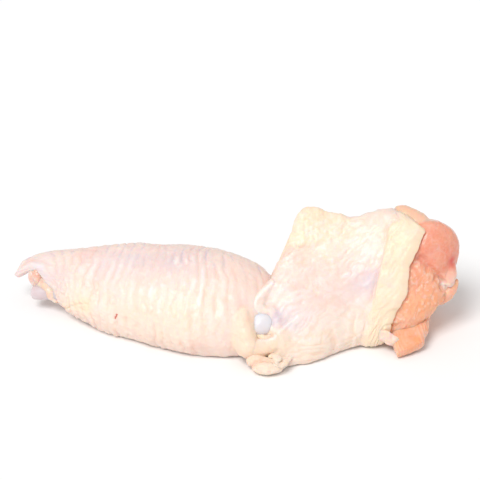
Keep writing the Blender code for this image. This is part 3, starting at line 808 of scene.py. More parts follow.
def shader_group(name, inputs, outputs):
    """A node group with named sockets, and its tree, its input node and its output node."""
    tree = bpy.data.node_groups.new(name, "ShaderNodeTree")
    for label, kind, value in inputs:
        socket = tree.interface.new_socket(label, in_out="INPUT", socket_type=kind)
        if value is not None:
            socket.default_value = value
    for label, kind in outputs:
        tree.interface.new_socket(label, in_out="OUTPUT", socket_type=kind)
    return tree, tree.nodes.new("NodeGroupInput"), tree.nodes.new("NodeGroupOutput")


def mottle_group():
    """Group: uneven tissue colour, as broad clouds and fine specks, each a mask from 0 to 1."""
    tree, given, result = shader_group(
        "Tissue mottle",
        [("Vector", "NodeSocketVector", None), ("Cloud scale", "NodeSocketFloat", 120.0),
         ("Speck scale", "NodeSocketFloat", 900.0)],
        [("Clouds", "NodeSocketFloat"), ("Specks", "NodeSocketFloat")])
    clouds = noise_node(tree, given.outputs["Vector"], given.outputs["Cloud scale"], 3.0)
    specks = noise_node(tree, given.outputs["Vector"], given.outputs["Speck scale"], 3.0, 0.6, 4.0)
    for label, source, low, high in (("Clouds", clouds, 0.35, 0.65), ("Specks", specks, 0.40, 0.70)):
        stretch = tree.nodes.new("ShaderNodeMapRange")
        stretch.inputs["From Min"].default_value = low
        stretch.inputs["From Max"].default_value = high
        tree.links.new(source, stretch.inputs["Value"])
        tree.links.new(stretch.outputs["Result"], result.inputs[label])
    return tree


def pores_group():
    """Group: fine relief of moist tissue, pores and hair-fine wrinkles, as a height."""
    tree, given, result = shader_group(
        "Moist relief",
        [("Vector", "NodeSocketVector", None), ("Pore scale", "NodeSocketFloat", 1400.0),
         ("Wrinkle scale", "NodeSocketFloat", 700.0), ("Wrinkles", "NodeSocketFloat", 0.5)],
        [("Height", "NodeSocketFloat"), ("Wetness", "NodeSocketFloat")])
    pores = noise_node(tree, given.outputs["Vector"], given.outputs["Pore scale"], 2.0)
    lines = noise_node(tree, given.outputs["Vector"], given.outputs["Wrinkle scale"], 3.0, 0.55, 9.0)
    lines = math_node(tree, "ABSOLUTE", math_node(tree, "SUBTRACT", lines, 0.5))
    lines = math_node(tree, "MULTIPLY", lines, given.outputs["Wrinkles"])
    lines = math_node(tree, "MULTIPLY", lines, 3.0)
    height = math_node(tree, "ADD", math_node(tree, "MULTIPLY", pores, 0.35), lines)
    wet = noise_node(tree, given.outputs["Vector"], 260.0, 2.0, 0.5, 17.0)
    wet = math_node(tree, "MULTIPLY", math_node(tree, "SUBTRACT", wet, 0.38), 3.0, clamp=True)
    tree.links.new(height, result.inputs["Height"])
    tree.links.new(wet, result.inputs["Wetness"])
    return tree


def place_group(tree, group, vector, **values):
    """A group node on the places, with its own values; underscores in a name stand for spaces."""
    node = tree.nodes.new("ShaderNodeGroup")
    node.node_tree = group
    tree.links.new(vector, node.inputs["Vector"])
    for label, value in values.items():
        input_value(tree, node.inputs[label.replace("_", " ")], value)
    return node


def tissue_material(name, colour_of_tree, relief, look):
    """A moist tissue: mixed colour, soft light below the surface, and a wet film in places.

    colour_of_tree builds the colour from a tree and the mottle node. look holds the
    roughness, the film's least and greatest weight, the depth and weight of the soft light, its
    colour spread, and the strength of the fine relief.
    """
    material = bpy.data.materials.new(name)
    material.use_nodes = True
    tree = material.node_tree
    shader = tree.nodes["Principled BSDF"]
    vector = object_vector(tree)
    mottle = place_group(tree, bpy.data.node_groups["Tissue mottle"], vector)
    pores = place_group(tree, bpy.data.node_groups["Moist relief"], vector, **relief)
    tree.links.new(colour_of_tree(tree, mottle), shader.inputs["Base Color"])
    wet = pores.outputs["Wetness"]
    spread = math_node(tree, "MULTIPLY", mottle.outputs["Specks"], 0.12)
    rough = math_node(tree, "ADD", spread, look["roughness"])
    tree.links.new(math_node(tree, "SUBTRACT", rough, math_node(tree, "MULTIPLY", wet, 0.08)),
                   shader.inputs["Roughness"])
    low, high = look["film"]
    film = math_node(tree, "ADD", math_node(tree, "MULTIPLY", wet, high - low), low)
    tree.links.new(film, shader.inputs["Coat Weight"])
    shader.inputs["Coat Roughness"].default_value = look["film_roughness"]
    shader.inputs["Coat IOR"].default_value = 1.36
    shader.inputs["IOR"].default_value = 1.40
    shader.inputs["Subsurface Weight"].default_value = look["soft"]
    shader.inputs["Subsurface Radius"].default_value = look["spread"]
    shader.inputs["Subsurface Scale"].default_value = look["depth"]
    bump = tree.nodes.new("ShaderNodeBump")
    bump.inputs["Strength"].default_value = look["bump"]
    bump.inputs["Distance"].default_value = 0.12 * MM
    tree.links.new(pores.outputs["Height"], bump.inputs["Height"])
    tree.links.new(bump.outputs["Normal"], shader.inputs["Normal"])
    return material


def skin_material(settings):
    """Raw skin: cream, yellow over fat, pink over meat, cool lilac over cartilage, warm in grooves, with
    painted shade in creases and painted highlight on raised tops.
    """
    if "raw_skin" in bpy.data.materials:
        return bpy.data.materials["raw_skin"]

    def colour(tree, mottle):
        clouds = mottle.outputs["Clouds"]
        specks = mottle.outputs["Specks"]
        plain = mix_node(tree, math_node(tree, "MULTIPLY", clouds, 0.25), colour_of(settings.cream),
                         colour_of(settings.flush))
        plain = mix_node(tree, math_node(tree, "MULTIPLY", specks, 0.20), plain, colour_of(settings.fat))
        uneven = math_node(tree, "ADD", math_node(tree, "MULTIPLY", clouds, 0.5), 0.65)
        for label in ("flush", "cool", "fat", "groove", "pale"):
            factor = math_node(tree, "MULTIPLY", mask_node(tree, label), uneven, clamp=True)
            plain = mix_node(tree, factor, plain, colour_of(getattr(settings, label)))
        return mix_node(tree, mask_node(tree, "blood"), plain, colour_of(settings.blood))

    look = {"roughness": 0.42, "film": (0.0, 0.32), "film_roughness": 0.18, "soft": 0.35,
            "spread": (1.0, 0.42, 0.25), "depth": 2.2 * MM, "bump": 0.35}
    return tissue_material("raw_skin", colour, {"Wrinkles": 0.8}, look)


def meat_material(settings):
    """Raw meat: orange and pink muscle with pale membrane, white fascia lines and bloody spots."""
    if "raw_meat" in bpy.data.materials:
        return bpy.data.materials["raw_meat"]

    def colour(tree, mottle):
        clouds = mottle.outputs["Clouds"]
        specks = mottle.outputs["Specks"]
        base = mix_node(tree, mask_node(tree, "pink"), colour_of(settings.orange), colour_of(settings.pink))
        base = mix_node(tree, math_node(tree, "MULTIPLY", clouds, 0.35), base, colour_of(settings.membrane))
        base = mix_node(tree, math_node(tree, "MULTIPLY", specks, 0.12), base, colour_of(settings.fascia))
        for label in ("membrane", "fascia", "red"):
            base = mix_node(tree, mask_node(tree, label), base, colour_of(getattr(settings, label)))
        return base

    look = {"roughness": 0.34, "film": (0.35, 1.0), "film_roughness": 0.10, "soft": 0.55,
            "spread": (1.0, 0.32, 0.16), "depth": 3.2 * MM, "bump": 0.45}
    return tissue_material("raw_meat", colour, {"Wrinkles": 1.0}, look)


def bone_material(settings):
    """Cartilage: smooth bluish white, stained where tissue clings."""
    if "cartilage" in bpy.data.materials:
        return bpy.data.materials["cartilage"]

    def colour(tree, mottle):
        factor = math_node(tree, "MULTIPLY", mottle.outputs["Clouds"], 0.18)
        base = mix_node(tree, factor, colour_of(settings.cartilage), colour_of(settings.stain))
        return mix_node(tree, mask_node(tree, "stain"), base, colour_of(settings.stain))

    look = {"roughness": 0.34, "film": (0.2, 0.6), "film_roughness": 0.22, "soft": 0.6,
            "spread": (0.8, 0.7, 0.6), "depth": 2.5 * MM, "bump": 0.08}
    return tissue_material("cartilage", colour, {"Wrinkles": 0.2}, look)


# Features of the flat's skin: pits in one row round it, lines as seen from the front, and spots as
# x, y, z, radius and strength
PITS_ROUND = 25
FLAT_CREASE = [(-63.6, 8.2), (-61.0, 9.2), (-58.7, 10.0), (-55.0, 10.4)]
FLAT_NICK = [(-43.4, 7.0), (-44.2, 5.0)]
FLAT_FAT = [(-56, -3, 12, 4.0, 0.9), (-38, -10, 16, 12, 0.35), (-20, -16, 14, 12, 0.4), (-60, 4, 15, 7, 0.3),
            (-8, -12, 24, 9, 0.25)]
# The flush and cool spots on the flat's top are partly its own pink and lilac tone, partly painted shade that
# darkens the top as if shaded from above.
FLAT_FLUSH_AND_SHADE = [(-34, 6, 28, 12, 0.35), (-20, 2, 29, 10, 0.3), (-56, 15, 24, 9, 0.8), (-66, 14, 18, 6, 0.4),
              (-30, 12, 29, 12, 0.35), (-15, -21, 6, 9, 0.55), (-35, -17, 5, 9, 0.4), (0, -14, 20, 10, 0.55),
              (-14, -21, 7, 2.2, 0.8), (-3, -2, 28, 9, 0.35), (-46, -2, 20, 6, 0.2)]
FLAT_COOL_AND_SHADE = [(-50, 9, 25, 7, 0.45), (-38, 6, 27, 8, 0.55), (-26, 3, 29, 8, 0.50), (-14, -1, 29, 8, 0.40),
             (-66, 10, 16, 5, 0.45), (-72, 20, 17, 6, 0.45)]
# Painted highlights: spots where the flat's ridge tops are lightened as if catching the light.
FLAT_HIGHLIGHTS = [(-16, -5, 27, 9, 0.5), (-38, 2, 26, 8, 0.3), (-8, -12, 24, 8, 0.3), (-55, 6, 21, 9, 0.35),
             (-28, -6, 24, 7, 0.5), (-72, 20, 16, 3, 0.4)]

# Features of the drumette's skin: the crease below its pad of fat, the point that the wrinkles
# gather to, fields of wrinkles, and spots
PAD_CREASE = [(22.5, 1.6, 35.2), (25.6, 0.8, 36.1), (30.0, 0.1, 35.7), (33.2, 0.3, 36.0), (36.2, 2.4, 37.7),
              (38.4, 4.3, 39.1), (40.3, 8.5, 41.8)]
GATHER_POINT = (59, 52)
# Height, direction in degrees, spacing and length, seed, and the oval that the field fills in the
# front plane
WRINKLE_FIELDS = [
    (0.42, 44, 1.15, 7, 62, (21, 5, 13, 12)),
    (0.50, 12, 1.2, 9, 64, (24, 18, 16, 10)),
    (1.00, 84, 2.3, 9, 66, (39, 0, 15, 11)),
    (0.60, 8, 1.6, 9, 68, (26, -7, 16, 8)),
]
DRUMETTE_FAT = [(46, 4, 41, 9, 0.35), (30, 6, 41, 10, 0.9), (45, -16, 9, 9, 0.5), (28, -23, 8, 10, 0.5),
                (58, -12, 15, 8, 0.4), (62, 0, 40, 9, 0.5)]
# Painted highlights: spots that the pale colour lightens, most on the wrinkles' tops, as if catching the
# light.
DRUMETTE_HIGHLIGHTS = [(46, -2, 34, 12, 0.6), (20, -17, 17, 9, 0.7), (31, 4, 40, 8, 0.5), (45, -12, 14, 9, 0.5)]
DRUMETTE_FLUSH = [(48, -8, 26, 6, 0.5), (20, -6, 29, 9, 0.4), (27, -12, 22, 9, 0.55), (42, -8, 27, 12, 0.5),
                  (48, -3, 34, 7, 0.4), (14, -15, 20, 5, 0.35)]
DRUMETTE_COOL = [(48.8, -8.1, 25.0, 4.6, 0.95), (43, -9, 24, 6, 0.35), (17.9, -18.8, 14.6, 4.5, 0.95),
                 (22, -18, 17, 6, 0.6), (52, -6, 28, 3.5, 0.6)]

# The elbow's folds: heights of the large and small lumps in millimetres and seed where a skin covers
# them, and their masks as an even value and spots
FOLD_LUMPS = (0.50, 0.20, 110)
# The groove spots on the lump's left, under the flap's lower edge, are partly its beige-tan tone and partly
# painted shade.
ELBOW_SPOTS = {
    "fat": (0.55, [(4, -22, 8, 8.0, 0.6), (0.5, -21, 7, 3.0, 0.4), (9, -25, 8, 7, 0.5),
                   (9, -29, 4, 5, -0.2)]),
    "flush": (0.05, [(5, -18.6, 15.7, 3.5, 0.7), (10, -21, 12, 3.0, 0.5), (13, -26, 5, 4, 0.4),
                     (4, -24, 4, 3, 0.3)]),
    "groove": (0.12, [(6, -22, 8, 7.5, 0.3), (5, -18.6, 15.7, 3.0, 0.35), (1.5, -21, 6, 3.0, 0.3),
                      (4, -24, 3, 4.0, 0.6), (8, -28, 6, 3, 0.45), (12, -22, 11, 3, 0.3)]),
}

# Features of the shoulder's meat: the white line between the muscles, the muscles' swellings as
# x, y, z, radius and height, the rightward and upward parts of their fibres' direction, the bone's
# end, spots, and the rolls that it wraps over as balls
FASCIA_LINE = [(63.0, -3.6, 36.5), (65.0, -3.4, 34.6), (66.9, -2.8, 33.0), (68.8, -3.3, 31.6),
               (70.6, -3.3, 29.3), (73.0, -3.6, 26.6), (75.0, -2.6, 23.8), (77.7, -1.3, 19.6)]
MUSCLES = [(72.5, 1.5, 34.0, 9.0, 1.1), (66.0, -6.5, 17.0, 10.0, 1.6), (70.0, 17.5, 30.0, 9.0, 1.2),
           (72.5, -4.0, 18.5, 5.0, 0.6), (62.5, -11.5, 9.0, 4.5, 0.8), (77.5, 2.0, 27.0, 4.0, 0.5)]
FIBRE_RUN = (0.55, 0.83)
BONE_END = (79.5, 15.1, 18.5)
SHOULDER_RED = [(79.0, 1.4, 29.6, 1.7, 0.9), (78.6, 1.8, 27.2, 1.3, 0.5), (70.5, -4.5, 21.0, 1.2, 0.15)]
# Deeper pink by the hem: partly the meat's own deeper colour, partly painted shade where the hem overhangs
# the upper muscle.
SHOULDER_DEEP_AND_SHADE = [(64.0, -3.5, 31, 5.0, 0.7), (62.5, -8.0, 24, 4.5, 0.4), (66, 1.0, 37, 5.0, 0.5)]
SHOULDER_PALE = [(78.5, 1.0, 22.5, 3.2, 0.9), (77.0, -1.0, 20.0, 2.0, 0.7), (62.5, -14.0, 7.0, 3.0, 0.6)]
SHOULDER_LUMPS = [(0.0, 57.5, 15.0, 39.6, 3.4), (0.3, 62.0, 14.3, 40.6, 4.0), (0.6, 66.0, 12.2, 40.2, 3.7),
                  (1.0, 70.4, 7.2, 37.2, 2.4)]
SHOULDER_END = [(0.0, 77.4, 3.2, 25.6, 2.6), (0.5, 77.6, 1.8, 23.4, 2.8), (1.0, 76.4, 0.4, 20.6, 2.6)]
# Metres, along a slope up and to the right, over which the flesh turns pink, and metres to the right
# over which the membrane beside the hem ends
PINK_EDGE = (0.0905, 0.0950)
HEM_EDGE = (0.0655, 0.0700)

# Flesh at the tip's cut: the lobe along the column's rim, as balls, then the column and three lobes
# beside it, each with the same columns as a bone
TIP_LOBE = [(0, -71.9, 18.5, 11.3, 1.9), (0.3, -70.6, 16.3, 10.2, 2.3), (0.6, -69.1, 14.7, 9.0, 2.3),
            (0.85, -67.8, 13.6, 7.5, 2.2), (1, -66.9, 12.7, 6.2, 1.7)]
TIP_STATIONS = [
    (0.00, -0.0751, 0.0266, 0.0130, 0.0020, 0.0020),
    (0.30, -0.0747, 0.0250, 0.0110, 0.0026, 0.0026),
    (0.65, -0.0732, 0.0229, 0.0089, 0.0031, 0.0031),
    (1.00, -0.0711, 0.0204, 0.0060, 0.0026, 0.0026),
]
TIP_BACK_STATIONS = [
    (0.00, -0.0742, 0.0275, 0.0095, 0.0030, 0.0032),
    (0.40, -0.0680, 0.0258, 0.0098, 0.0042, 0.0045),
    (1.00, -0.0580, 0.0215, 0.0115, 0.0050, 0.0055),
]
TIP_LEFT_STATIONS = [
    (0.00, -0.0769, 0.0271, 0.0148, 0.0009, 0.0010),
    (0.25, -0.0774, 0.0254, 0.0137, 0.0015, 0.0016),
    (0.65, -0.0771, 0.0237, 0.0114, 0.0018, 0.0018),
    (1.00, -0.0754, 0.0224, 0.0084, 0.0015, 0.0015),
]
TIP_RIGHT_STATIONS = [
    (0.00, -0.0754, 0.0272, 0.0168, 0.0014, 0.0014),
    (0.30, -0.0754, 0.0248, 0.0145, 0.0019, 0.0019),
    (0.65, -0.0755, 0.0233, 0.0120, 0.0021, 0.0021),
    (1.00, -0.0739, 0.0221, 0.0085, 0.0018, 0.0018),
]
TIP_PINK = [(-73.2, 17.0, 14.3, 2.6, 0.8), (-73.4, 16.3, 12.0, 2.2, 0.6), (-75.3, 17.9, 13.1, 2.4, 0.45)]
TIP_RED = [(-74.3, 17.2, 12.8, 1.1, 0.5), (-73.9, 17.8, 15.2, 1.2, 0.3)]

# Loose flesh: how pink, how covered with membrane, seed, how white, and height of the lumps in
# millimetres, after the stations, rows and columns where a limb gives the form
TONGUE_LOOK = (0.15, 0.12, 80, 0.03, 0.25)
SHOULDER_SHREDS = {
    "shoulder_flap": (FLAP_STATIONS, 70, 60, 0.5, 0.5, 86, 0.1, 0.25),
    "hem_tissue": (TISSUE_STATIONS, 80, 70, 0.0, 0.6, 95, 0.45, 0.5),
}
TIP_LOBES = {
    "tip_lobe_back": (TIP_BACK_STATIONS, 90, 80, 0.35, 0.4, 73, 0.35, 0.5),
    "tip_lobe_left": (TIP_LEFT_STATIONS, 80, 70, 1.0, 0.0, 75, 0.58, 0.35),
    "tip_lobe_right": (TIP_RIGHT_STATIONS, 80, 70, 1.0, 0.0, 77, 0.42, 0.35),
}


def flat_relief(share, angle, points, settings):
    """Height of the flat's ridges in metres, with masks for grooves, dark dashes, pits and tops that the skin
    lightens as painted highlight.

    A groove lies wherever a swaying phase is whole, and each groove deepens and fades on its way
    round. Finer wrinkles are noise drawn out round the limb, and each ridge has a row of pits, of
    which the largest have a ring.
    """
    along = share[:, None] * FLAT_LENGTH
    x = np.cos(angle)
    y = np.sin(angle)
    sway = 0.50 * noise(1.6 * x, 1.6 * y, along / 12, 1) + 0.26 * noise(5.0 * x, 5.0 * y, along / 5, 2)
    phase = along / (settings.ridge_spacing / MM) + 0.8 * x + sway
    wave = np.abs(np.sin(np.pi * phase))
    number = np.round(phase)
    depth = 0.08 + 0.92 * ease(noise(3.4 * x, 3.4 * y, number * 0.71, 3), -0.35, 0.65)
    fine = crests(5.5 * x, 5.5 * y, along / 1.05, 6, 0.8) - 0.5
    goose = noise(14 * x, 14 * y, along / 1.15, 7)
    gap, size = cells(phase, angle / (2 * np.pi) * PITS_ROUND, PITS_ROUND, 8, 0.24, 0.30)
    pits = bell(gap, 1.0) * ease(size, -0.4, 0.8)
    ring = bell(gap - 1.35, 0.35) * ease(size, 0.80, 0.95)
    relief = -depth * (1 - wave ** 0.8) + 0.42 * fine + 0.26 * goose + 0.36 * pits - 0.4 * ring
    line = depth * (1 - wave) ** 3
    band = ease(x, 0.16, 0.60) * ease(y, -0.25, 0.10)
    dash = (1 - wave) ** 2.5 * band * ease(noise(4.6 * x, 4.6 * y, number * 0.9, 10), -0.10, 0.35)
    relief = relief - 0.6 * dash + 1.3 * around(points, 9.0, 9)
    tops = ease(wave, 0.55, 1.0) * ease(noise(4.2 * x, 4.2 * y, np.floor(phase) * 0.83, 4), -0.2, 0.6)
    relief = relief + 0.35 * ease(share, 0.60, 0.85)[:, None] * noise(7 * x, 7 * y, along / 2.2, 14)
    calm = (0.25 + 0.75 * ease(share, 0.0, 0.14)) * (1 - 0.45 * ease(share, 0.60, 0.85))
    relief = relief * settings.ridge_height * calm[:, None]
    return relief, line + 0.6 * ring, dash, pits, tops + 0.5 * ease(goose, 0.2, 0.7)


def flat_skin(settings):
    """Skin of the flat: outer surface from elbow to tip, round the rim of the cut and back inside.

    At the cut it is drawn out in three places and wraps over the loose flap, and at the elbow it
    wraps over the fat flap.
    """
    count, cap_rows, rows, rim_rows, back_rows = FLAT_GRID
    outer = np.concatenate([1 - 0.5 * FLAT_ROUND * (1 - np.cos(np.linspace(0, np.pi / 2, cap_rows)))[:-1],
                            np.linspace(1 - 0.5 * FLAT_ROUND, 0, rows)])
    turn = np.linspace(0, np.pi, rim_rows)[1:]
    inner = np.linspace(0, FLAT_INNER, back_rows)[1:]
    share = np.concatenate([outer, 0 * turn, inner])
    inset = np.concatenate([0 * outer, 0.5 * FLAT_SKIN * (1 - np.cos(turn)), 0 * inner + FLAT_SKIN])
    reach = np.concatenate([0 * outer, 0.45 * FLAT_SKIN * np.sin(turn), 0 * inner])
    angle = np.linspace(0, 2 * np.pi, count, endpoint=False)[None]
    ragged = 0.5 * MM * noise(3 * np.cos(angle), 3 * np.sin(angle), 0.0, 11)
    ragged = ragged + 0.4 * MM * noise(9 * np.cos(angle), 9 * np.sin(angle), 0.0, 12)
    rings = flat_rings(share, angle, inset, reach)
    rings = pull(pull(pull(rings, *CHIN_PULL), *RIM_PULL), *TIP_PULL)
    lines = steady(outward(rings), 2)
    rings = rings + wrap(rings, lines, path_balls(TIP_FINGER), 1.0 * MM)[..., None] * lines
    flap = path_balls(ELBOW_FLAP[:FLAT_FLAP_STATIONS])
    lines = steady(outward(rings), 3)
    rings = rings + wrap(rings, lines, flap, 1.4 * MM)[..., None] * lines
    normal = outward(rings)
    relief, groove, dash, pits, tops = flat_relief(share, angle, rings, settings)
    fold = 1 - ease(ball_gap(rings, flap), 0.4 * MM, 1.8 * MM)
    # Painted shadow: the flat's skin darkens in a band along the flap's edge, where the flap overhangs it.
    flap_edge_shadow = bell(ball_gap(rings, flap) / MM - 0.9, 0.6)
    right, rise = front_plane(rings)
    stray = np.stack([right, rise + 0.5 * around(rings, 1.6, 13)], -1) * MM
    facing = ease(normal @ FRONT, 0.0, 0.3)
    crease = facing * bell(path_distance(stray, FLAT_CREASE), 0.5)
    yellow = facing * bell(path_distance(stray, FLAT_CREASE), 2.4)
    nick = facing * bell(path_distance(stray, FLAT_NICK), 0.32)
    low = 1 - ease(rings[..., 2], 8 * MM, 20 * MM)
    relief = relief * (1 + 0.6 * low) - 0.4 * MM * crease - 0.4 * MM * nick
    relief = relief * (1 - 0.95 * fold) + fold * fold_relief(rings, *FOLD_LUMPS)[0] * MM
    shown = np.concatenate([np.ones(len(outer)), np.cos(turn / 2) ** 2, 0 * inner])[:, None]
    fade = round_end(1 - share, 0.04)[:, None]
    near = (1 - ease(share, 0.0, 0.05))[:, None] * ragged
    axis = unit(rings[len(outer) - 1].mean(axis=0) - rings[len(outer) - CUT_ROWS].mean(axis=0))
    rings = rings + near[..., None] * axis + (relief * shown * fade)[..., None] * normal
    rings = settle(rings)
    rim = np.concatenate([1 - ease(outer, 0.004, 0.045), 0 * turn + 1, 0 * inner + 1])[:, None]
    # The groove and flush colours darken the ridge grooves and the crease as painted shade, and the pale
    # colour lightens ridge tops as painted highlight.
    masks = {
        "fat": patches(rings, FLAT_FAT) + 0.10 * pits + 0.6 * yellow,
        "flush": (patches(rings, FLAT_FLUSH_AND_SHADE) + 0.30 * groove + 0.25 * around(rings, 11, 20)
                  + 0.2 * around(rings, 3, 21)),
        "cool": patches(rings, FLAT_COOL_AND_SHADE) + 0.45 * rim + 1.1 * dash,
        "groove": 0.30 * groove + 0.15 * crease + 0.35 * flap_edge_shadow,
        "pale": patches(rings, FLAT_HIGHLIGHTS) * tops + 0.15 * tops,
        "blood": 1.1 * ease(nick, 0.30, 0.9),
    }
    masks = fold_over(masks, fold, rings)
    return grid_piece("flat_skin", rings, masks, skin_material(settings), ["skin"])


def drumette_relief(share, angle, level, points, settings):
    """Height of the drumette's folds in metres, with masks for grooves, pad, hem, pits and lobules.

    On the front, fine wrinkles gather towards the hem's top and fan out from the elbow, soft folds
    stand over the lower edge, and a pad of fat with a pebbled skin stands up in the top corner. The
    hem is a roll past a crease. The back has pits. The last mask has the wrinkles' tops.
    """
    along = share[:, None] * DRUMETTE_LENGTH + 0 * level
    up = level * DRUMETTE_HEIGHT
    front = ease(np.sin(angle), -0.15, 0.25) + 0 * level
    right, rise = front_plane(points)
    gather_right = right - GATHER_POINT[0]
    gather_rise = rise - GATHER_POINT[1]
    fan = np.arctan2(gather_rise, gather_right)
    gather = crests(fan * 21, np.hypot(gather_rise, gather_right) / 8, 0.0, 33)
    gather = gather - 0.5 + 0.5 * streaks(right, rise, 55, 0.8, 5, 61)
    wrinkles = 0.24 * gather * spot(right, rise, 45, 32, 14, 17)
    for height, degrees, spacing, length, seed, oval in WRINKLE_FIELDS:
        field = height * streaks(right, rise, degrees, spacing, length, seed)
        wrinkles = wrinkles + field * spot(right, rise, *oval)
    wrinkles = wrinkles + 0.40 * streaks(right, rise, 35, 1.5, 5, 70) + 0.28 * around(points, 1.3, 72)
    column = right / 2.5 + 0.5 * noise(right / 3, rise / 3, 0.0, 73)
    gap, size = cells(column, rise / 2.1, NO_WRAP, 74, 0.40, 0.42)
    lobules = spot(right, rise, 29, 21, 14, 13) * ease(noise(right / 5, rise / 5, 0.0, 75), -0.35, 0.35)
    wrinkles = wrinkles + 0.9 * lobules * (bell(gap, 1.0) - 0.4) * ease(size, -0.8, 0.2)
    circles = lobules * bell(gap - 1.15, 0.35) * ease(size, -0.8, 0.2)
    stray = 1.5 * noise(right / 4, rise / 4, 0.0, 76) + 0.7 * noise(right / 1.7, rise / 1.7, 0.0, 77)
    pad = ease(rise + stray - 0.10 * right, 28.0, 31.5) * (1 - ease(right + 1.4 * stray, 36.5, 42.0))
    pebble = pimples(right / 1.7, rise / 1.9, NO_WRAP, 37, 0.42, 0.42) + 0.5 * around(points, 1.1, 78)
    sway = -0.055 * ease(level, 0.30, 0.80) - 0.13 * ease(level, 0.86, 1.0)
    sway = sway + 0.016 * np.sin(7 * level + 1) + 0.022 * noise(up / 9, 1.7, 0.0, 39)
    sway = sway + 0.010 * noise(up / 3, 3.3, 0.0, 44)
    start = ease(share[:, None] + sway, 0.752, 0.806)
    roll = np.clip(1 - np.abs((share - 0.90) / 0.130) ** 2.4, 0, 1)[:, None] ** 0.5
    plump = 0.80 + 0.30 * noise(up / 8, 5.1, 0.0, 45) + 0.12 * noise(up / 3, along / 4, 0.0, 46)
    hem = settings.hem_height * start * (0.50 + 0.50 * roll) * plump
    ditch = bell((share[:, None] + sway - 0.758) / 0.026, 1.0) * (0.50 + 0.50 * noise(up / 6, 2.2, 0.0, 47))
    grain = streaks(right, rise, 58, 1.5, 5, 80) + 0.6 * streaks(right, rise, 40, 0.9, 4, 82)
    grain = grain + 0.3 * around(points, 1.2, 84)
    swell = np.abs(np.sin(angle)) ** 0.5
    skin = settings.wrinkle_height * wrinkles * (1 - 0.7 * pad) * (1 - 0.85 * start)
    relief = front * (skin + MM * (0.75 * pad + 0.20 * pad * pebble - 0.42 * ditch * swell))
    relief = relief + hem * swell * (0.6 + 0.4 * front) + start * MM * 0.22 * grain
    relief = relief + 0.40 * MM * around(points, 7.0, 38) + 0.16 * MM * around(points, 3.0, 49)
    phase = along / 5.2 + 0.25 * noise(up / 8, along / 8, 0.0, 41)
    ridges = np.abs(np.sin(np.pi * phase)) ** 0.7 - 0.6
    pits = pimples(phase, up / 5.5, NO_WRAP, 42, 0.22, 0.28)
    relief = relief + (1 - front) * (1 - start) * MM * (0.35 * ridges + 0.3 * pits)
    # Painted shade: the wrinkles' hollows and the ditch left of the hem take the groove colour; on the hem
    # the streaks' hollows take it as orange blotches.
    groove = 0.9 * np.clip(-wrinkles, 0, 0.6) * (1 - start) + 0.45 * ditch * swell
    groove = front * (groove + 0.35 * start * ease(-grain, 0.1, 0.5))
    # Tops of the wrinkles, lightened by the pale colour as painted highlight.
    tops = front * ease(wrinkles, 0.02, 0.35) * (1 - start)
    return relief, groove, pad * front, start, pits * (1 - front), circles * front, tops


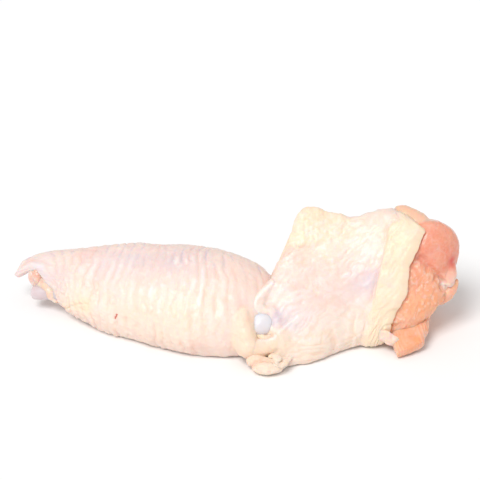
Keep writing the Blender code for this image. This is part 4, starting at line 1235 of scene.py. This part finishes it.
def drumette_skin(settings):
    """Skin of the drumette: from the folded edge beside the elbow to the cut, its rim and inside.

    At the elbow it wraps over the fat flap, the thin sheet beside the bone and the curl.
    """
    count, cap_rows, rows, rim_rows, back_rows = DRUMETTE_GRID
    cap = DRUMETTE_CAP * (1 - np.cos(np.linspace(0, np.pi / 2, cap_rows)))[:-1]
    outer = np.concatenate([cap, np.linspace(DRUMETTE_CAP, 1, rows)])
    turn = np.linspace(0, np.pi, rim_rows)[1:]
    inner = np.linspace(1, DRUMETTE_INNER, back_rows)[1:]
    share = np.concatenate([outer, 0 * turn + 1, inner])
    inset = np.concatenate([0 * outer, 0.5 * SKIN * (1 - np.cos(turn)), 0 * inner + SKIN])
    angle = np.linspace(0, 2 * np.pi, count, endpoint=False)[None]
    rings, level, along = drumette_rings(share, angle, inset)
    flap = path_balls(ELBOW_FLAP)[DRUMETTE_FLAP_START:] - [0, 0, 0, GAP]
    sheet = path_balls(ELBOW_SHEET)
    cuff = path_balls(ELBOW_CUFF)
    for balls, soft in ((flap, 2.4 * MM), (sheet, 2.4 * MM), (cuff, 3.0 * MM)):
        lines = steady(outward(rings), 3)
        rings = rings + wrap(rings, lines, balls, soft)[..., None] * lines
    normal = outward(rings)
    fold = 1 - ease(ball_gap(rings, flap), 0.4 * MM, 4.0 * MM)
    relief, groove, pad, hem, pits, lobules, tops = drumette_relief(share, angle, level, rings, settings)
    relief = 1.25 * relief * (1 - 0.95 * fold) + fold * fold_relief(rings, *FOLD_LUMPS)[0] * MM
    stray = rings + 0.7 * MM * around(rings, 1.8, 54)[..., None]
    crease = bell(path_distance(stray, PAD_CREASE), 0.65)
    plane = np.stack(front_plane(rings), -1) * MM
    facing = ease(normal @ FRONT, -0.1, 0.3)
    paths = ((ELBOW_RIM, 0.8), (ELBOW_LIP, 0.55), (ELBOW_VEIL, 0.5), (ELBOW_POCKET, 1.0))
    rim, lip, veil, pocket = (facing * bell(path_distance(plane, path), wide) for path, wide in paths)
    thin = facing * spot(*front_plane(rings), 15.4, 4.2, 3.6, 5.4)
    relief = relief + MM * (0.35 * rim + 0.40 * lip + 0.35 * veil - 0.5 * pocket - 0.6 * crease)
    shown = np.concatenate([np.ones(len(outer)), 0.5 + 0.5 * np.cos(turn), 0 * inner])[:, None]
    ragged = 0.7 * noise(level * 6, np.sin(angle), 0.0, 51) + 0.4 * noise(level * 17, np.sin(angle), 0.0, 52)
    ragged = ragged + 2.1 * bell(level - 0.48, 0.18) - 2.2 * (1 - ease(level, 0.05, 0.32))
    ragged = ragged + 0.8 * bell(level - 0.92, 0.05)
    ragged = ragged * MM * ease(share, 0.86, 1.0)[:, None]
    ragged = ragged - 5.2 * MM * ease(level, 0.915, 1.01) * ease(share, 0.60, 1.0)[:, None]
    rings = rings + (relief * shown)[..., None] * normal
    brim = np.concatenate([0 * outer, np.sin(turn), 0 * inner])[:, None]
    rings = settle(rings + (1.3 * MM * brim + ragged)[..., None] * along[:, None])
    edge = (1 - ease(share, 0.0, 0.03))[:, None] + brim
    blotch = 0.75 + 0.35 * around(rings, 4, 53) + 0.2 * around(rings, 1.6, 56)
    # The groove colour in the pad's crease is painted shade, and the pale colour on highlight spots, wrinkle
    # tops and the curl's rim is painted highlight; the veil is whitish membrane.
    masks = {
        "fat": (patches(rings, DRUMETTE_FAT) + 0.60 * pad + hem * (1.25 * blotch - 0.10) + 0.1 * pits
                + 0.5 * lobules),
        "flush": (patches(rings, DRUMETTE_FLUSH) + 0.25 * around(rings, 9, 50) + 0.3 * groove) * (1 - hem),
        "cool": (patches(rings, DRUMETTE_COOL) + 0.9 * thin) * (1 - hem),
        "groove": 0.40 * groove + 0.35 * crease + 0.30 * edge,
        "pale": (((0.2 + 0.3 * tops) * patches(rings, DRUMETTE_HIGHLIGHTS) + 0.2 * tops) * (1 - thin) + 0.8 * rim
                 + 0.5 * veil),
        "blood": np.zeros(level.shape),
    }
    masks = fold_over(masks, fold, rings)
    # Painted highlight along the flap's lip.
    masks["pale"] = masks["pale"] + 0.6 * lip
    # Painted shade in the pocket below the knob.
    masks["groove"] = masks["groove"] + 0.5 * pocket
    return grid_piece("drumette_skin", rings, masks, skin_material(settings), ["skin"])


def fold_masks(points):
    """Masks of the elbow's folds, the same on every skin that covers them."""
    shade = 0.12 * around(points, 3, 112)
    masks = {"cool": 0.0, "pale": 0.15, "blood": 0.0}
    for label, (even, spots) in ELBOW_SPOTS.items():
        masks[label] = even + patches(points, spots) + shade
    return masks


def fold_over(masks, fold, points):
    """A skin's masks, blended into those of the elbow's folds where it covers one."""
    own = fold_masks(points)
    return {label: np.clip(value, 0, 1) * (1 - fold) + np.clip(own[label], 0, 1) * fold
            for label, value in masks.items()}


def fold_piece(name, rings, settings, lumps, seed):
    """A fold of skin or fat: a limb loft with lumps of two sizes and fine creases along its normals.

    A crease seen from the front parts a pearly bulge from the darker fold above it, and is darkened further
    as painted shade.
    """
    relief, folds = fold_relief(rings, *lumps, seed)
    stray = np.stack(front_plane(rings), -1) * MM + 0.3 * MM * around(rings, 2, seed)[..., None]
    crease = bell(path_distance(stray, LUMP_LINE), 0.7)
    relief = relief - 0.7 * crease
    rings = settle(rings + (relief * MM)[..., None] * outward(rings), GAP)
    masks = fold_masks(rings)
    # Painted shade in the fold's creases and along the crease under the flap.
    masks["groove"] = masks["groove"] + 0.15 * ease(-folds, 0.2, 0.5) + 0.45 * crease
    return grid_piece(name, rings, masks, skin_material(settings), ["skin"])


def shoulder_meat(settings):
    """Meat at the shoulder cut: the drumette's core, hidden in the skin, and the dome past it.

    The dome runs from the rim to its top as a superellipse; muscle lobes swell it and a crease with
    a broken white line parts them. Fibres are noise drawn out along the muscles, and the web of
    white threads lies where a smooth noise passes zero.
    """
    count, core_rows = MEAT_GRID
    angle = np.linspace(0, 2 * np.pi, count, endpoint=False)[None]
    core_share = np.linspace(MEAT_SHOWN[0], MEAT_END, core_rows)
    core = drumette_rings(core_share, angle, SKIN + GAP, MEAT_START, MEAT_HEIGHTS)[0]
    rim = core[-1]
    middle = rim.mean(axis=0)
    turn = np.sin(np.linspace(0, np.pi / 2, settings.rows))[1:, None, None]
    narrow = (1 - turn ** DOME_POWER) ** (1 / DOME_POWER)
    apex = np.array(DOME_APEX) - CENTRE
    dome = middle + (rim - middle)[None] * narrow + (apex - middle)[None, None] * turn
    rings = np.concatenate([core, dome[:-1]])
    shown = np.concatenate([ease(core_share, *MEAT_SHOWN), np.ones(len(dome) - 1)])[:, None]
    upwards = (0.0, 0.5, 2.0)
    level = (0.0, 0.0, 0.0)
    for path, soft, bias in ((SHOULDER_LUMPS, 1.8 * MM, upwards), (SHOULDER_END, 0.8 * MM, level)):
        lines = steady(outward(rings), 4, bias)
        rings = rings + (wrap(rings, lines, path_balls(path), soft) * shown)[..., None] * lines
    normal = outward(rings)
    places = rings / MM
    lobes = np.zeros(rings.shape[:2])
    for x, y, z, radius, height in MUSCLES:
        lobes = lobes + height * bell(np.linalg.norm(places - np.array([x, y, z]), axis=-1), radius)
    stray = rings + 0.8 * MM * around(rings, 3.0, 66)[..., None]
    line = path_distance(stray, FASCIA_LINE)
    run_x, run_z = FIBRE_RUN
    run = places[..., 0] * run_x + places[..., 2] * run_z + 1.2 * around(rings, 4, 59)
    cross = places[..., 2] * run_x - places[..., 0] * run_z + 1.2 * around(rings, 4, 58)
    fibre = crests(cross, places[..., 1], run / 5, 60) - 0.5
    coarse = crests(cross / 2.6, places[..., 1] / 2.6, run / 6, 61) - 0.5
    upper = ease(rings[..., 2] + 0.9 * rings[..., 0] + 1.2 * MM * around(rings, 4, 57), *PINK_EDGE)
    grainy = 1 - 0.65 * upper
    beads = around(rings, 0.9, 67)
    threads = noise(places[..., 0] / 3.6, places[..., 1] / 3.6, places[..., 2] / 3.6, 68)
    web = bell(threads, 0.055) * ease(around(rings, 7, 69), -0.1, 0.35)
    relief = lobes - 2.5 * bell(line, 1.4) - 0.15 * web + 0.5 * around(rings, 5.5, 62)
    relief = relief + grainy * (0.18 * fibre + 0.40 * coarse + 0.18 * beads)
    socket = 1 - ease(np.linalg.norm(places - np.array(BONE_END), axis=-1), 3.5, 6.5)
    relief = relief * (1 - 0.8 * socket) - 1.7 * socket
    rings = settle(rings + (relief * MM * shown)[..., None] * normal, GAP)
    band = 1 - ease(ball_gap(rings, path_balls(SHOULDER_LUMPS)), 0.6 * MM, 2.2 * MM)
    hem = 1 - ease(rings[..., 0] + 0.15 * rings[..., 2] + 0.8 * MM * around(rings, 3, 56), *HEM_EDGE)
    # The pink deepens along the crease between the muscles and in the spots by the hem, partly as painted
    # shade.
    masks = {
        "pink": (0.10 + 0.90 * upper + 0.3 * around(rings, 8, 63) + 0.45 * bell(line, 2.0)
                 + patches(rings, SHOULDER_DEEP_AND_SHADE)),
        "membrane": 0.95 * band + 0.3 * hem + 0.25 * ease(around(rings, 6, 64), 0.1, 0.7),
        "fascia": (0.80 * bell(line, 0.40) * ease(around(rings, 2.2, 55), -0.4, 0.3) + 0.15 * web
                   + (0.40 - 0.28 * upper) * ease(-fibre, 0.28, 0.5) * ease(around(rings, 3, 65), 0.0, 0.5)
                   + 0.30 * grainy * ease(beads, 0.25, 0.8)
                   + patches(rings, SHOULDER_PALE)),
        "red": patches(rings, SHOULDER_RED),
    }
    node = "drumette_meat"
    return grid_piece("shoulder_meat", rings, masks, meat_material(settings), [node])


def meat_fold(name, rings, settings, node, pink, membrane, seed, fascia, relief, grain=None):
    """A loose piece of flesh: lumps along its normals, and even masks with a little change.

    grain draws fine striations out across the given direction.
    """
    normal = outward(rings)
    height = relief * around(rings, 2.6, seed) + 0.4 * relief * around(rings, 1.0, seed + 1)
    lines = 0.0
    if grain is not None:
        lines = np.cos(2 * np.pi * ((rings / MM) @ np.array(grain) + 0.5 * around(rings, 3, seed + 3)))
        height = height + 0.045 * lines
    rings = settle(rings + (height * MM)[..., None] * normal, GAP)
    shade = 0.2 * around(rings, 3.0, seed + 2)
    masks = {
        "pink": pink + shade,
        "membrane": membrane + shade,
        "fascia": fascia + shade + 0.1 * lines,
        "red": 0.0,
    }
    return grid_piece(name, rings, masks, meat_material(settings), [node])


def slab_rings(stations, rows, count):
    """A flat slab of flesh: square-cornered sections along its line, both ends cut off nearly flat.

    A section is a superellipse, its size closes close to the ends, and the far end is cut at a slant.
    """
    share = 0.5 - 0.5 * np.cos(np.linspace(0, np.pi, rows))
    angle = np.linspace(0, 2 * np.pi, count, endpoint=False)[None]
    sizes = profile(stations, share)
    along = tangents(stations, share, slice(0, 3))
    side = unit(np.cross(along, np.array([0.0, 0.0, 1.0])))
    lift = np.cross(side, along)
    close = (round_end(share, 0.05) * round_end(1 - share, 0.05))[:, None] ** 0.8 + 0.01
    across = sizes[:, 3:4] * close * signed_power(np.cos(angle), 0.45)
    raised = sizes[:, 4:5] * close * signed_power(np.sin(angle), 0.6)
    points = sizes[:, None, :3] + across[..., None] * side[:, None] + raised[..., None] * lift[:, None]
    return points + (TONGUE_SLANT * share[:, None] * across)[..., None] * along[:, None] - CENTRE


def tip_meat(settings):
    """Meat of the flat at the tip's cut: a short column of flesh with a lobe along its rim."""
    rings = limb_rings(TIP_STATIONS, *TIP_GRID)
    lines = steady(outward(rings), 2)
    rings = rings + wrap(rings, lines, path_balls(TIP_LOBE), 1.4 * MM)[..., None] * lines
    relief = 0.30 * around(rings, 2.4, 70) + 0.16 * around(rings, 1.0, 71)
    rings = settle(rings + (relief * MM)[..., None] * outward(rings), GAP)
    pink = patches(rings, TIP_PINK)
    masks = {
        "pink": pink,
        "membrane": 0.85 - 0.6 * pink,
        "fascia": 0.55 + 0.3 * around(rings, 2, 72),
        "red": patches(rings, TIP_RED),
    }
    return grid_piece("tip_meat", rings, masks, meat_material(settings), ["flat_meat"])


class WING_OT_flat_skin(bpy.types.Operator):
    """Add the skin of the flat and the loose flap at the tip"""

    bl_idname = "wing.flat_skin"
    bl_label = "Flat's skin"

    def execute(self, context):
        flat_skin(context.scene.wing_skin)
        return {"FINISHED"}


class WING_OT_drumette_skin(bpy.types.Operator):
    """Add the skin of the drumette with its fat pad and hem"""

    bl_idname = "wing.drumette_skin"
    bl_label = "Drumette's skin"

    def execute(self, context):
        drumette_skin(context.scene.wing_skin)
        return {"FINISHED"}


class WING_OT_elbow(bpy.types.Operator):
    """Add the fat and the folds of skin round the elbow"""

    bl_idname = "wing.elbow"
    bl_label = "Elbow's folds"

    def execute(self, context):
        for name, (stations, rows, count, lumps, seed) in ELBOW_FOLDS.items():
            fold_piece(name, limb_rings(stations, rows, count), context.scene.wing_skin, lumps, seed)
        return {"FINISHED"}


class WING_OT_meat(bpy.types.Operator):
    """Add the meat at the shoulder's cut and at the tip's cut, with its loose shreds"""

    bl_idname = "wing.meat"
    bl_label = "Meat"

    def execute(self, context):
        settings = context.scene.wing_meat
        shoulder_meat(settings)
        tongue = slab_rings(TONGUE_STATIONS, *TONGUE_GRID)
        meat_fold("meat_tongue", tongue, settings, "drumette_meat", *TONGUE_LOOK, TONGUE_GRAIN)
        for name, (stations, rows, count, *look) in SHOULDER_SHREDS.items():
            meat_fold(name, limb_rings(stations, rows, count), settings, "drumette_meat", *look)
        tip_meat(settings)
        for name, (stations, rows, count, *look) in TIP_LOBES.items():
            meat_fold(name, limb_rings(stations, rows, count), settings, "flat_meat", *look)
        return {"FINISHED"}


class WING_OT_bones(bpy.types.Operator):
    """Add the three bones with their cartilage ends"""

    bl_idname = "wing.bones"
    bl_label = "Bones"

    def execute(self, context):
        material = bone_material(context.scene.wing_bone)
        for name, (stations, blunt, stain) in BONES.items():
            rings = limb_rings(stations, *BONE_GRID, blunt)
            relief = 0.18 * around(rings, 3.5, 90)
            rings = settle(rings + (relief * MM)[..., None] * outward(rings), GAP)
            masks = {"stain": stain + 0.2 * around(rings, 3, 92)}
            grid_piece(name + "_bone", rings, masks, material, [name])
        return {"FINISHED"}


class WING_OT_stage(bpy.types.Operator):
    """Add the white floor, the broad light, the surround and the camera at the photograph's angle"""

    bl_idname = "wing.stage"
    bl_label = "Stage"

    def execute(self, context):
        settings = context.scene.wing_stage
        scene = context.scene
        mesh = bpy.data.meshes.new("floor")
        corners = [(FLOOR_HALF * x, FLOOR_HALF * y, 0) for x, y in ((-1, -1), (1, -1), (1, 1), (-1, 1))]
        mesh.from_pydata(corners, [], [(0, 1, 2, 3)])
        floor = bpy.data.objects.new("floor", mesh)
        scene.collection.objects.link(floor)
        material = bpy.data.materials.new("floor_white")
        material.use_nodes = True
        shader = material.node_tree.nodes["Principled BSDF"]
        shader.inputs["Base Color"].default_value = colour_of(settings.floor_colour)
        shader.inputs["Roughness"].default_value = 0.9
        mesh.materials.append(material)
        world = bpy.data.worlds.new("surround")
        world.use_nodes = True
        world.node_tree.nodes["Background"].inputs["Color"].default_value = (1.0, 1.0, 1.0, 1.0)
        world.node_tree.nodes["Background"].inputs["Strength"].default_value = settings.sky
        scene.world = world
        self.light(scene, settings.key, settings.key_spread)
        self.camera(scene, settings.lens)
        scene.view_settings.view_transform = "Standard"
        return {"FINISHED"}

    def light(self, scene, strength, spread):
        """The broad key light, even over the whole floor and aimed at the wing."""
        data = bpy.data.lights.new("key", "SUN")
        data.energy = strength
        data.angle = spread
        lamp = bpy.data.objects.new("key", data)
        scene.collection.objects.link(lamp)
        lamp.location = KEY_PLACE
        lamp.rotation_euler = (-Vector(KEY_PLACE)).to_track_quat("-Z", "Y").to_euler()

    def camera(self, scene, lens):
        """The camera, far off with a long lens, so that a pixel is PIXEL wide at the wing."""
        data = bpy.data.cameras.new("camera")
        data.lens = lens
        data.sensor_width = SENSOR
        data.clip_start = 0.01
        camera = bpy.data.objects.new("camera", data)
        scene.collection.objects.link(camera)
        aim = Vector((0, 0, AIM_HEIGHT)) - Vector(CENTRE)
        back = Vector(FRONT)
        camera.location = aim + back * (IMAGE_SIZE * PIXEL * lens / SENSOR)
        camera.rotation_euler = (-back).to_track_quat("-Z", "Y").to_euler()
        scene.camera = camera


class WING_PT_panel(bpy.types.Panel):
    """Buttons for each part of the wing"""

    bl_idname = "WING_PT_panel"
    bl_label = "Raw chicken wing"
    bl_space_type = "VIEW_3D"
    bl_region_type = "UI"
    bl_category = "Wing"

    def draw(self, context):
        for operator in OPERATORS:
            self.layout.operator(operator.bl_idname)
        for group in SETTINGS:
            settings = getattr(context.scene, group)
            for label in settings.bl_rna.properties.keys():
                if label not in ("rna_type", "name"):
                    self.layout.prop(settings, label)


OPERATORS = (
    WING_OT_flat_skin,
    WING_OT_drumette_skin,
    WING_OT_elbow,
    WING_OT_meat,
    WING_OT_bones,
    WING_OT_stage,
)
SETTINGS = {
    "wing_skin": WingSkinSettings,
    "wing_meat": WingMeatSettings,
    "wing_bone": WingBoneSettings,
    "wing_stage": WingStageSettings,
}


def register():
    """Add the settings, the operators and the panel."""
    for group, kind in SETTINGS.items():
        bpy.utils.register_class(kind)
        setattr(bpy.types.Scene, group, PointerProperty(type=kind))
    for kind in (*OPERATORS, WING_PT_panel):
        bpy.utils.register_class(kind)


def unregister():
    """Take the panel, the operators and the settings away again."""
    for kind in (WING_PT_panel, *reversed(OPERATORS)):
        bpy.utils.unregister_class(kind)
    for group, kind in SETTINGS.items():
        delattr(bpy.types.Scene, group)
        bpy.utils.unregister_class(kind)


def main():
    """Add every piece, then the stage."""
    register()
    mottle_group()
    pores_group()
    for item in list(bpy.context.scene.objects):
        if item.type in ("CAMERA", "LIGHT"):
            bpy.data.objects.remove(item)
    bpy.ops.wing.flat_skin()
    bpy.ops.wing.drumette_skin()
    bpy.ops.wing.elbow()
    bpy.ops.wing.meat()
    bpy.ops.wing.bones()
    bpy.ops.wing.stage()


if __name__ == "__main__":
    main()
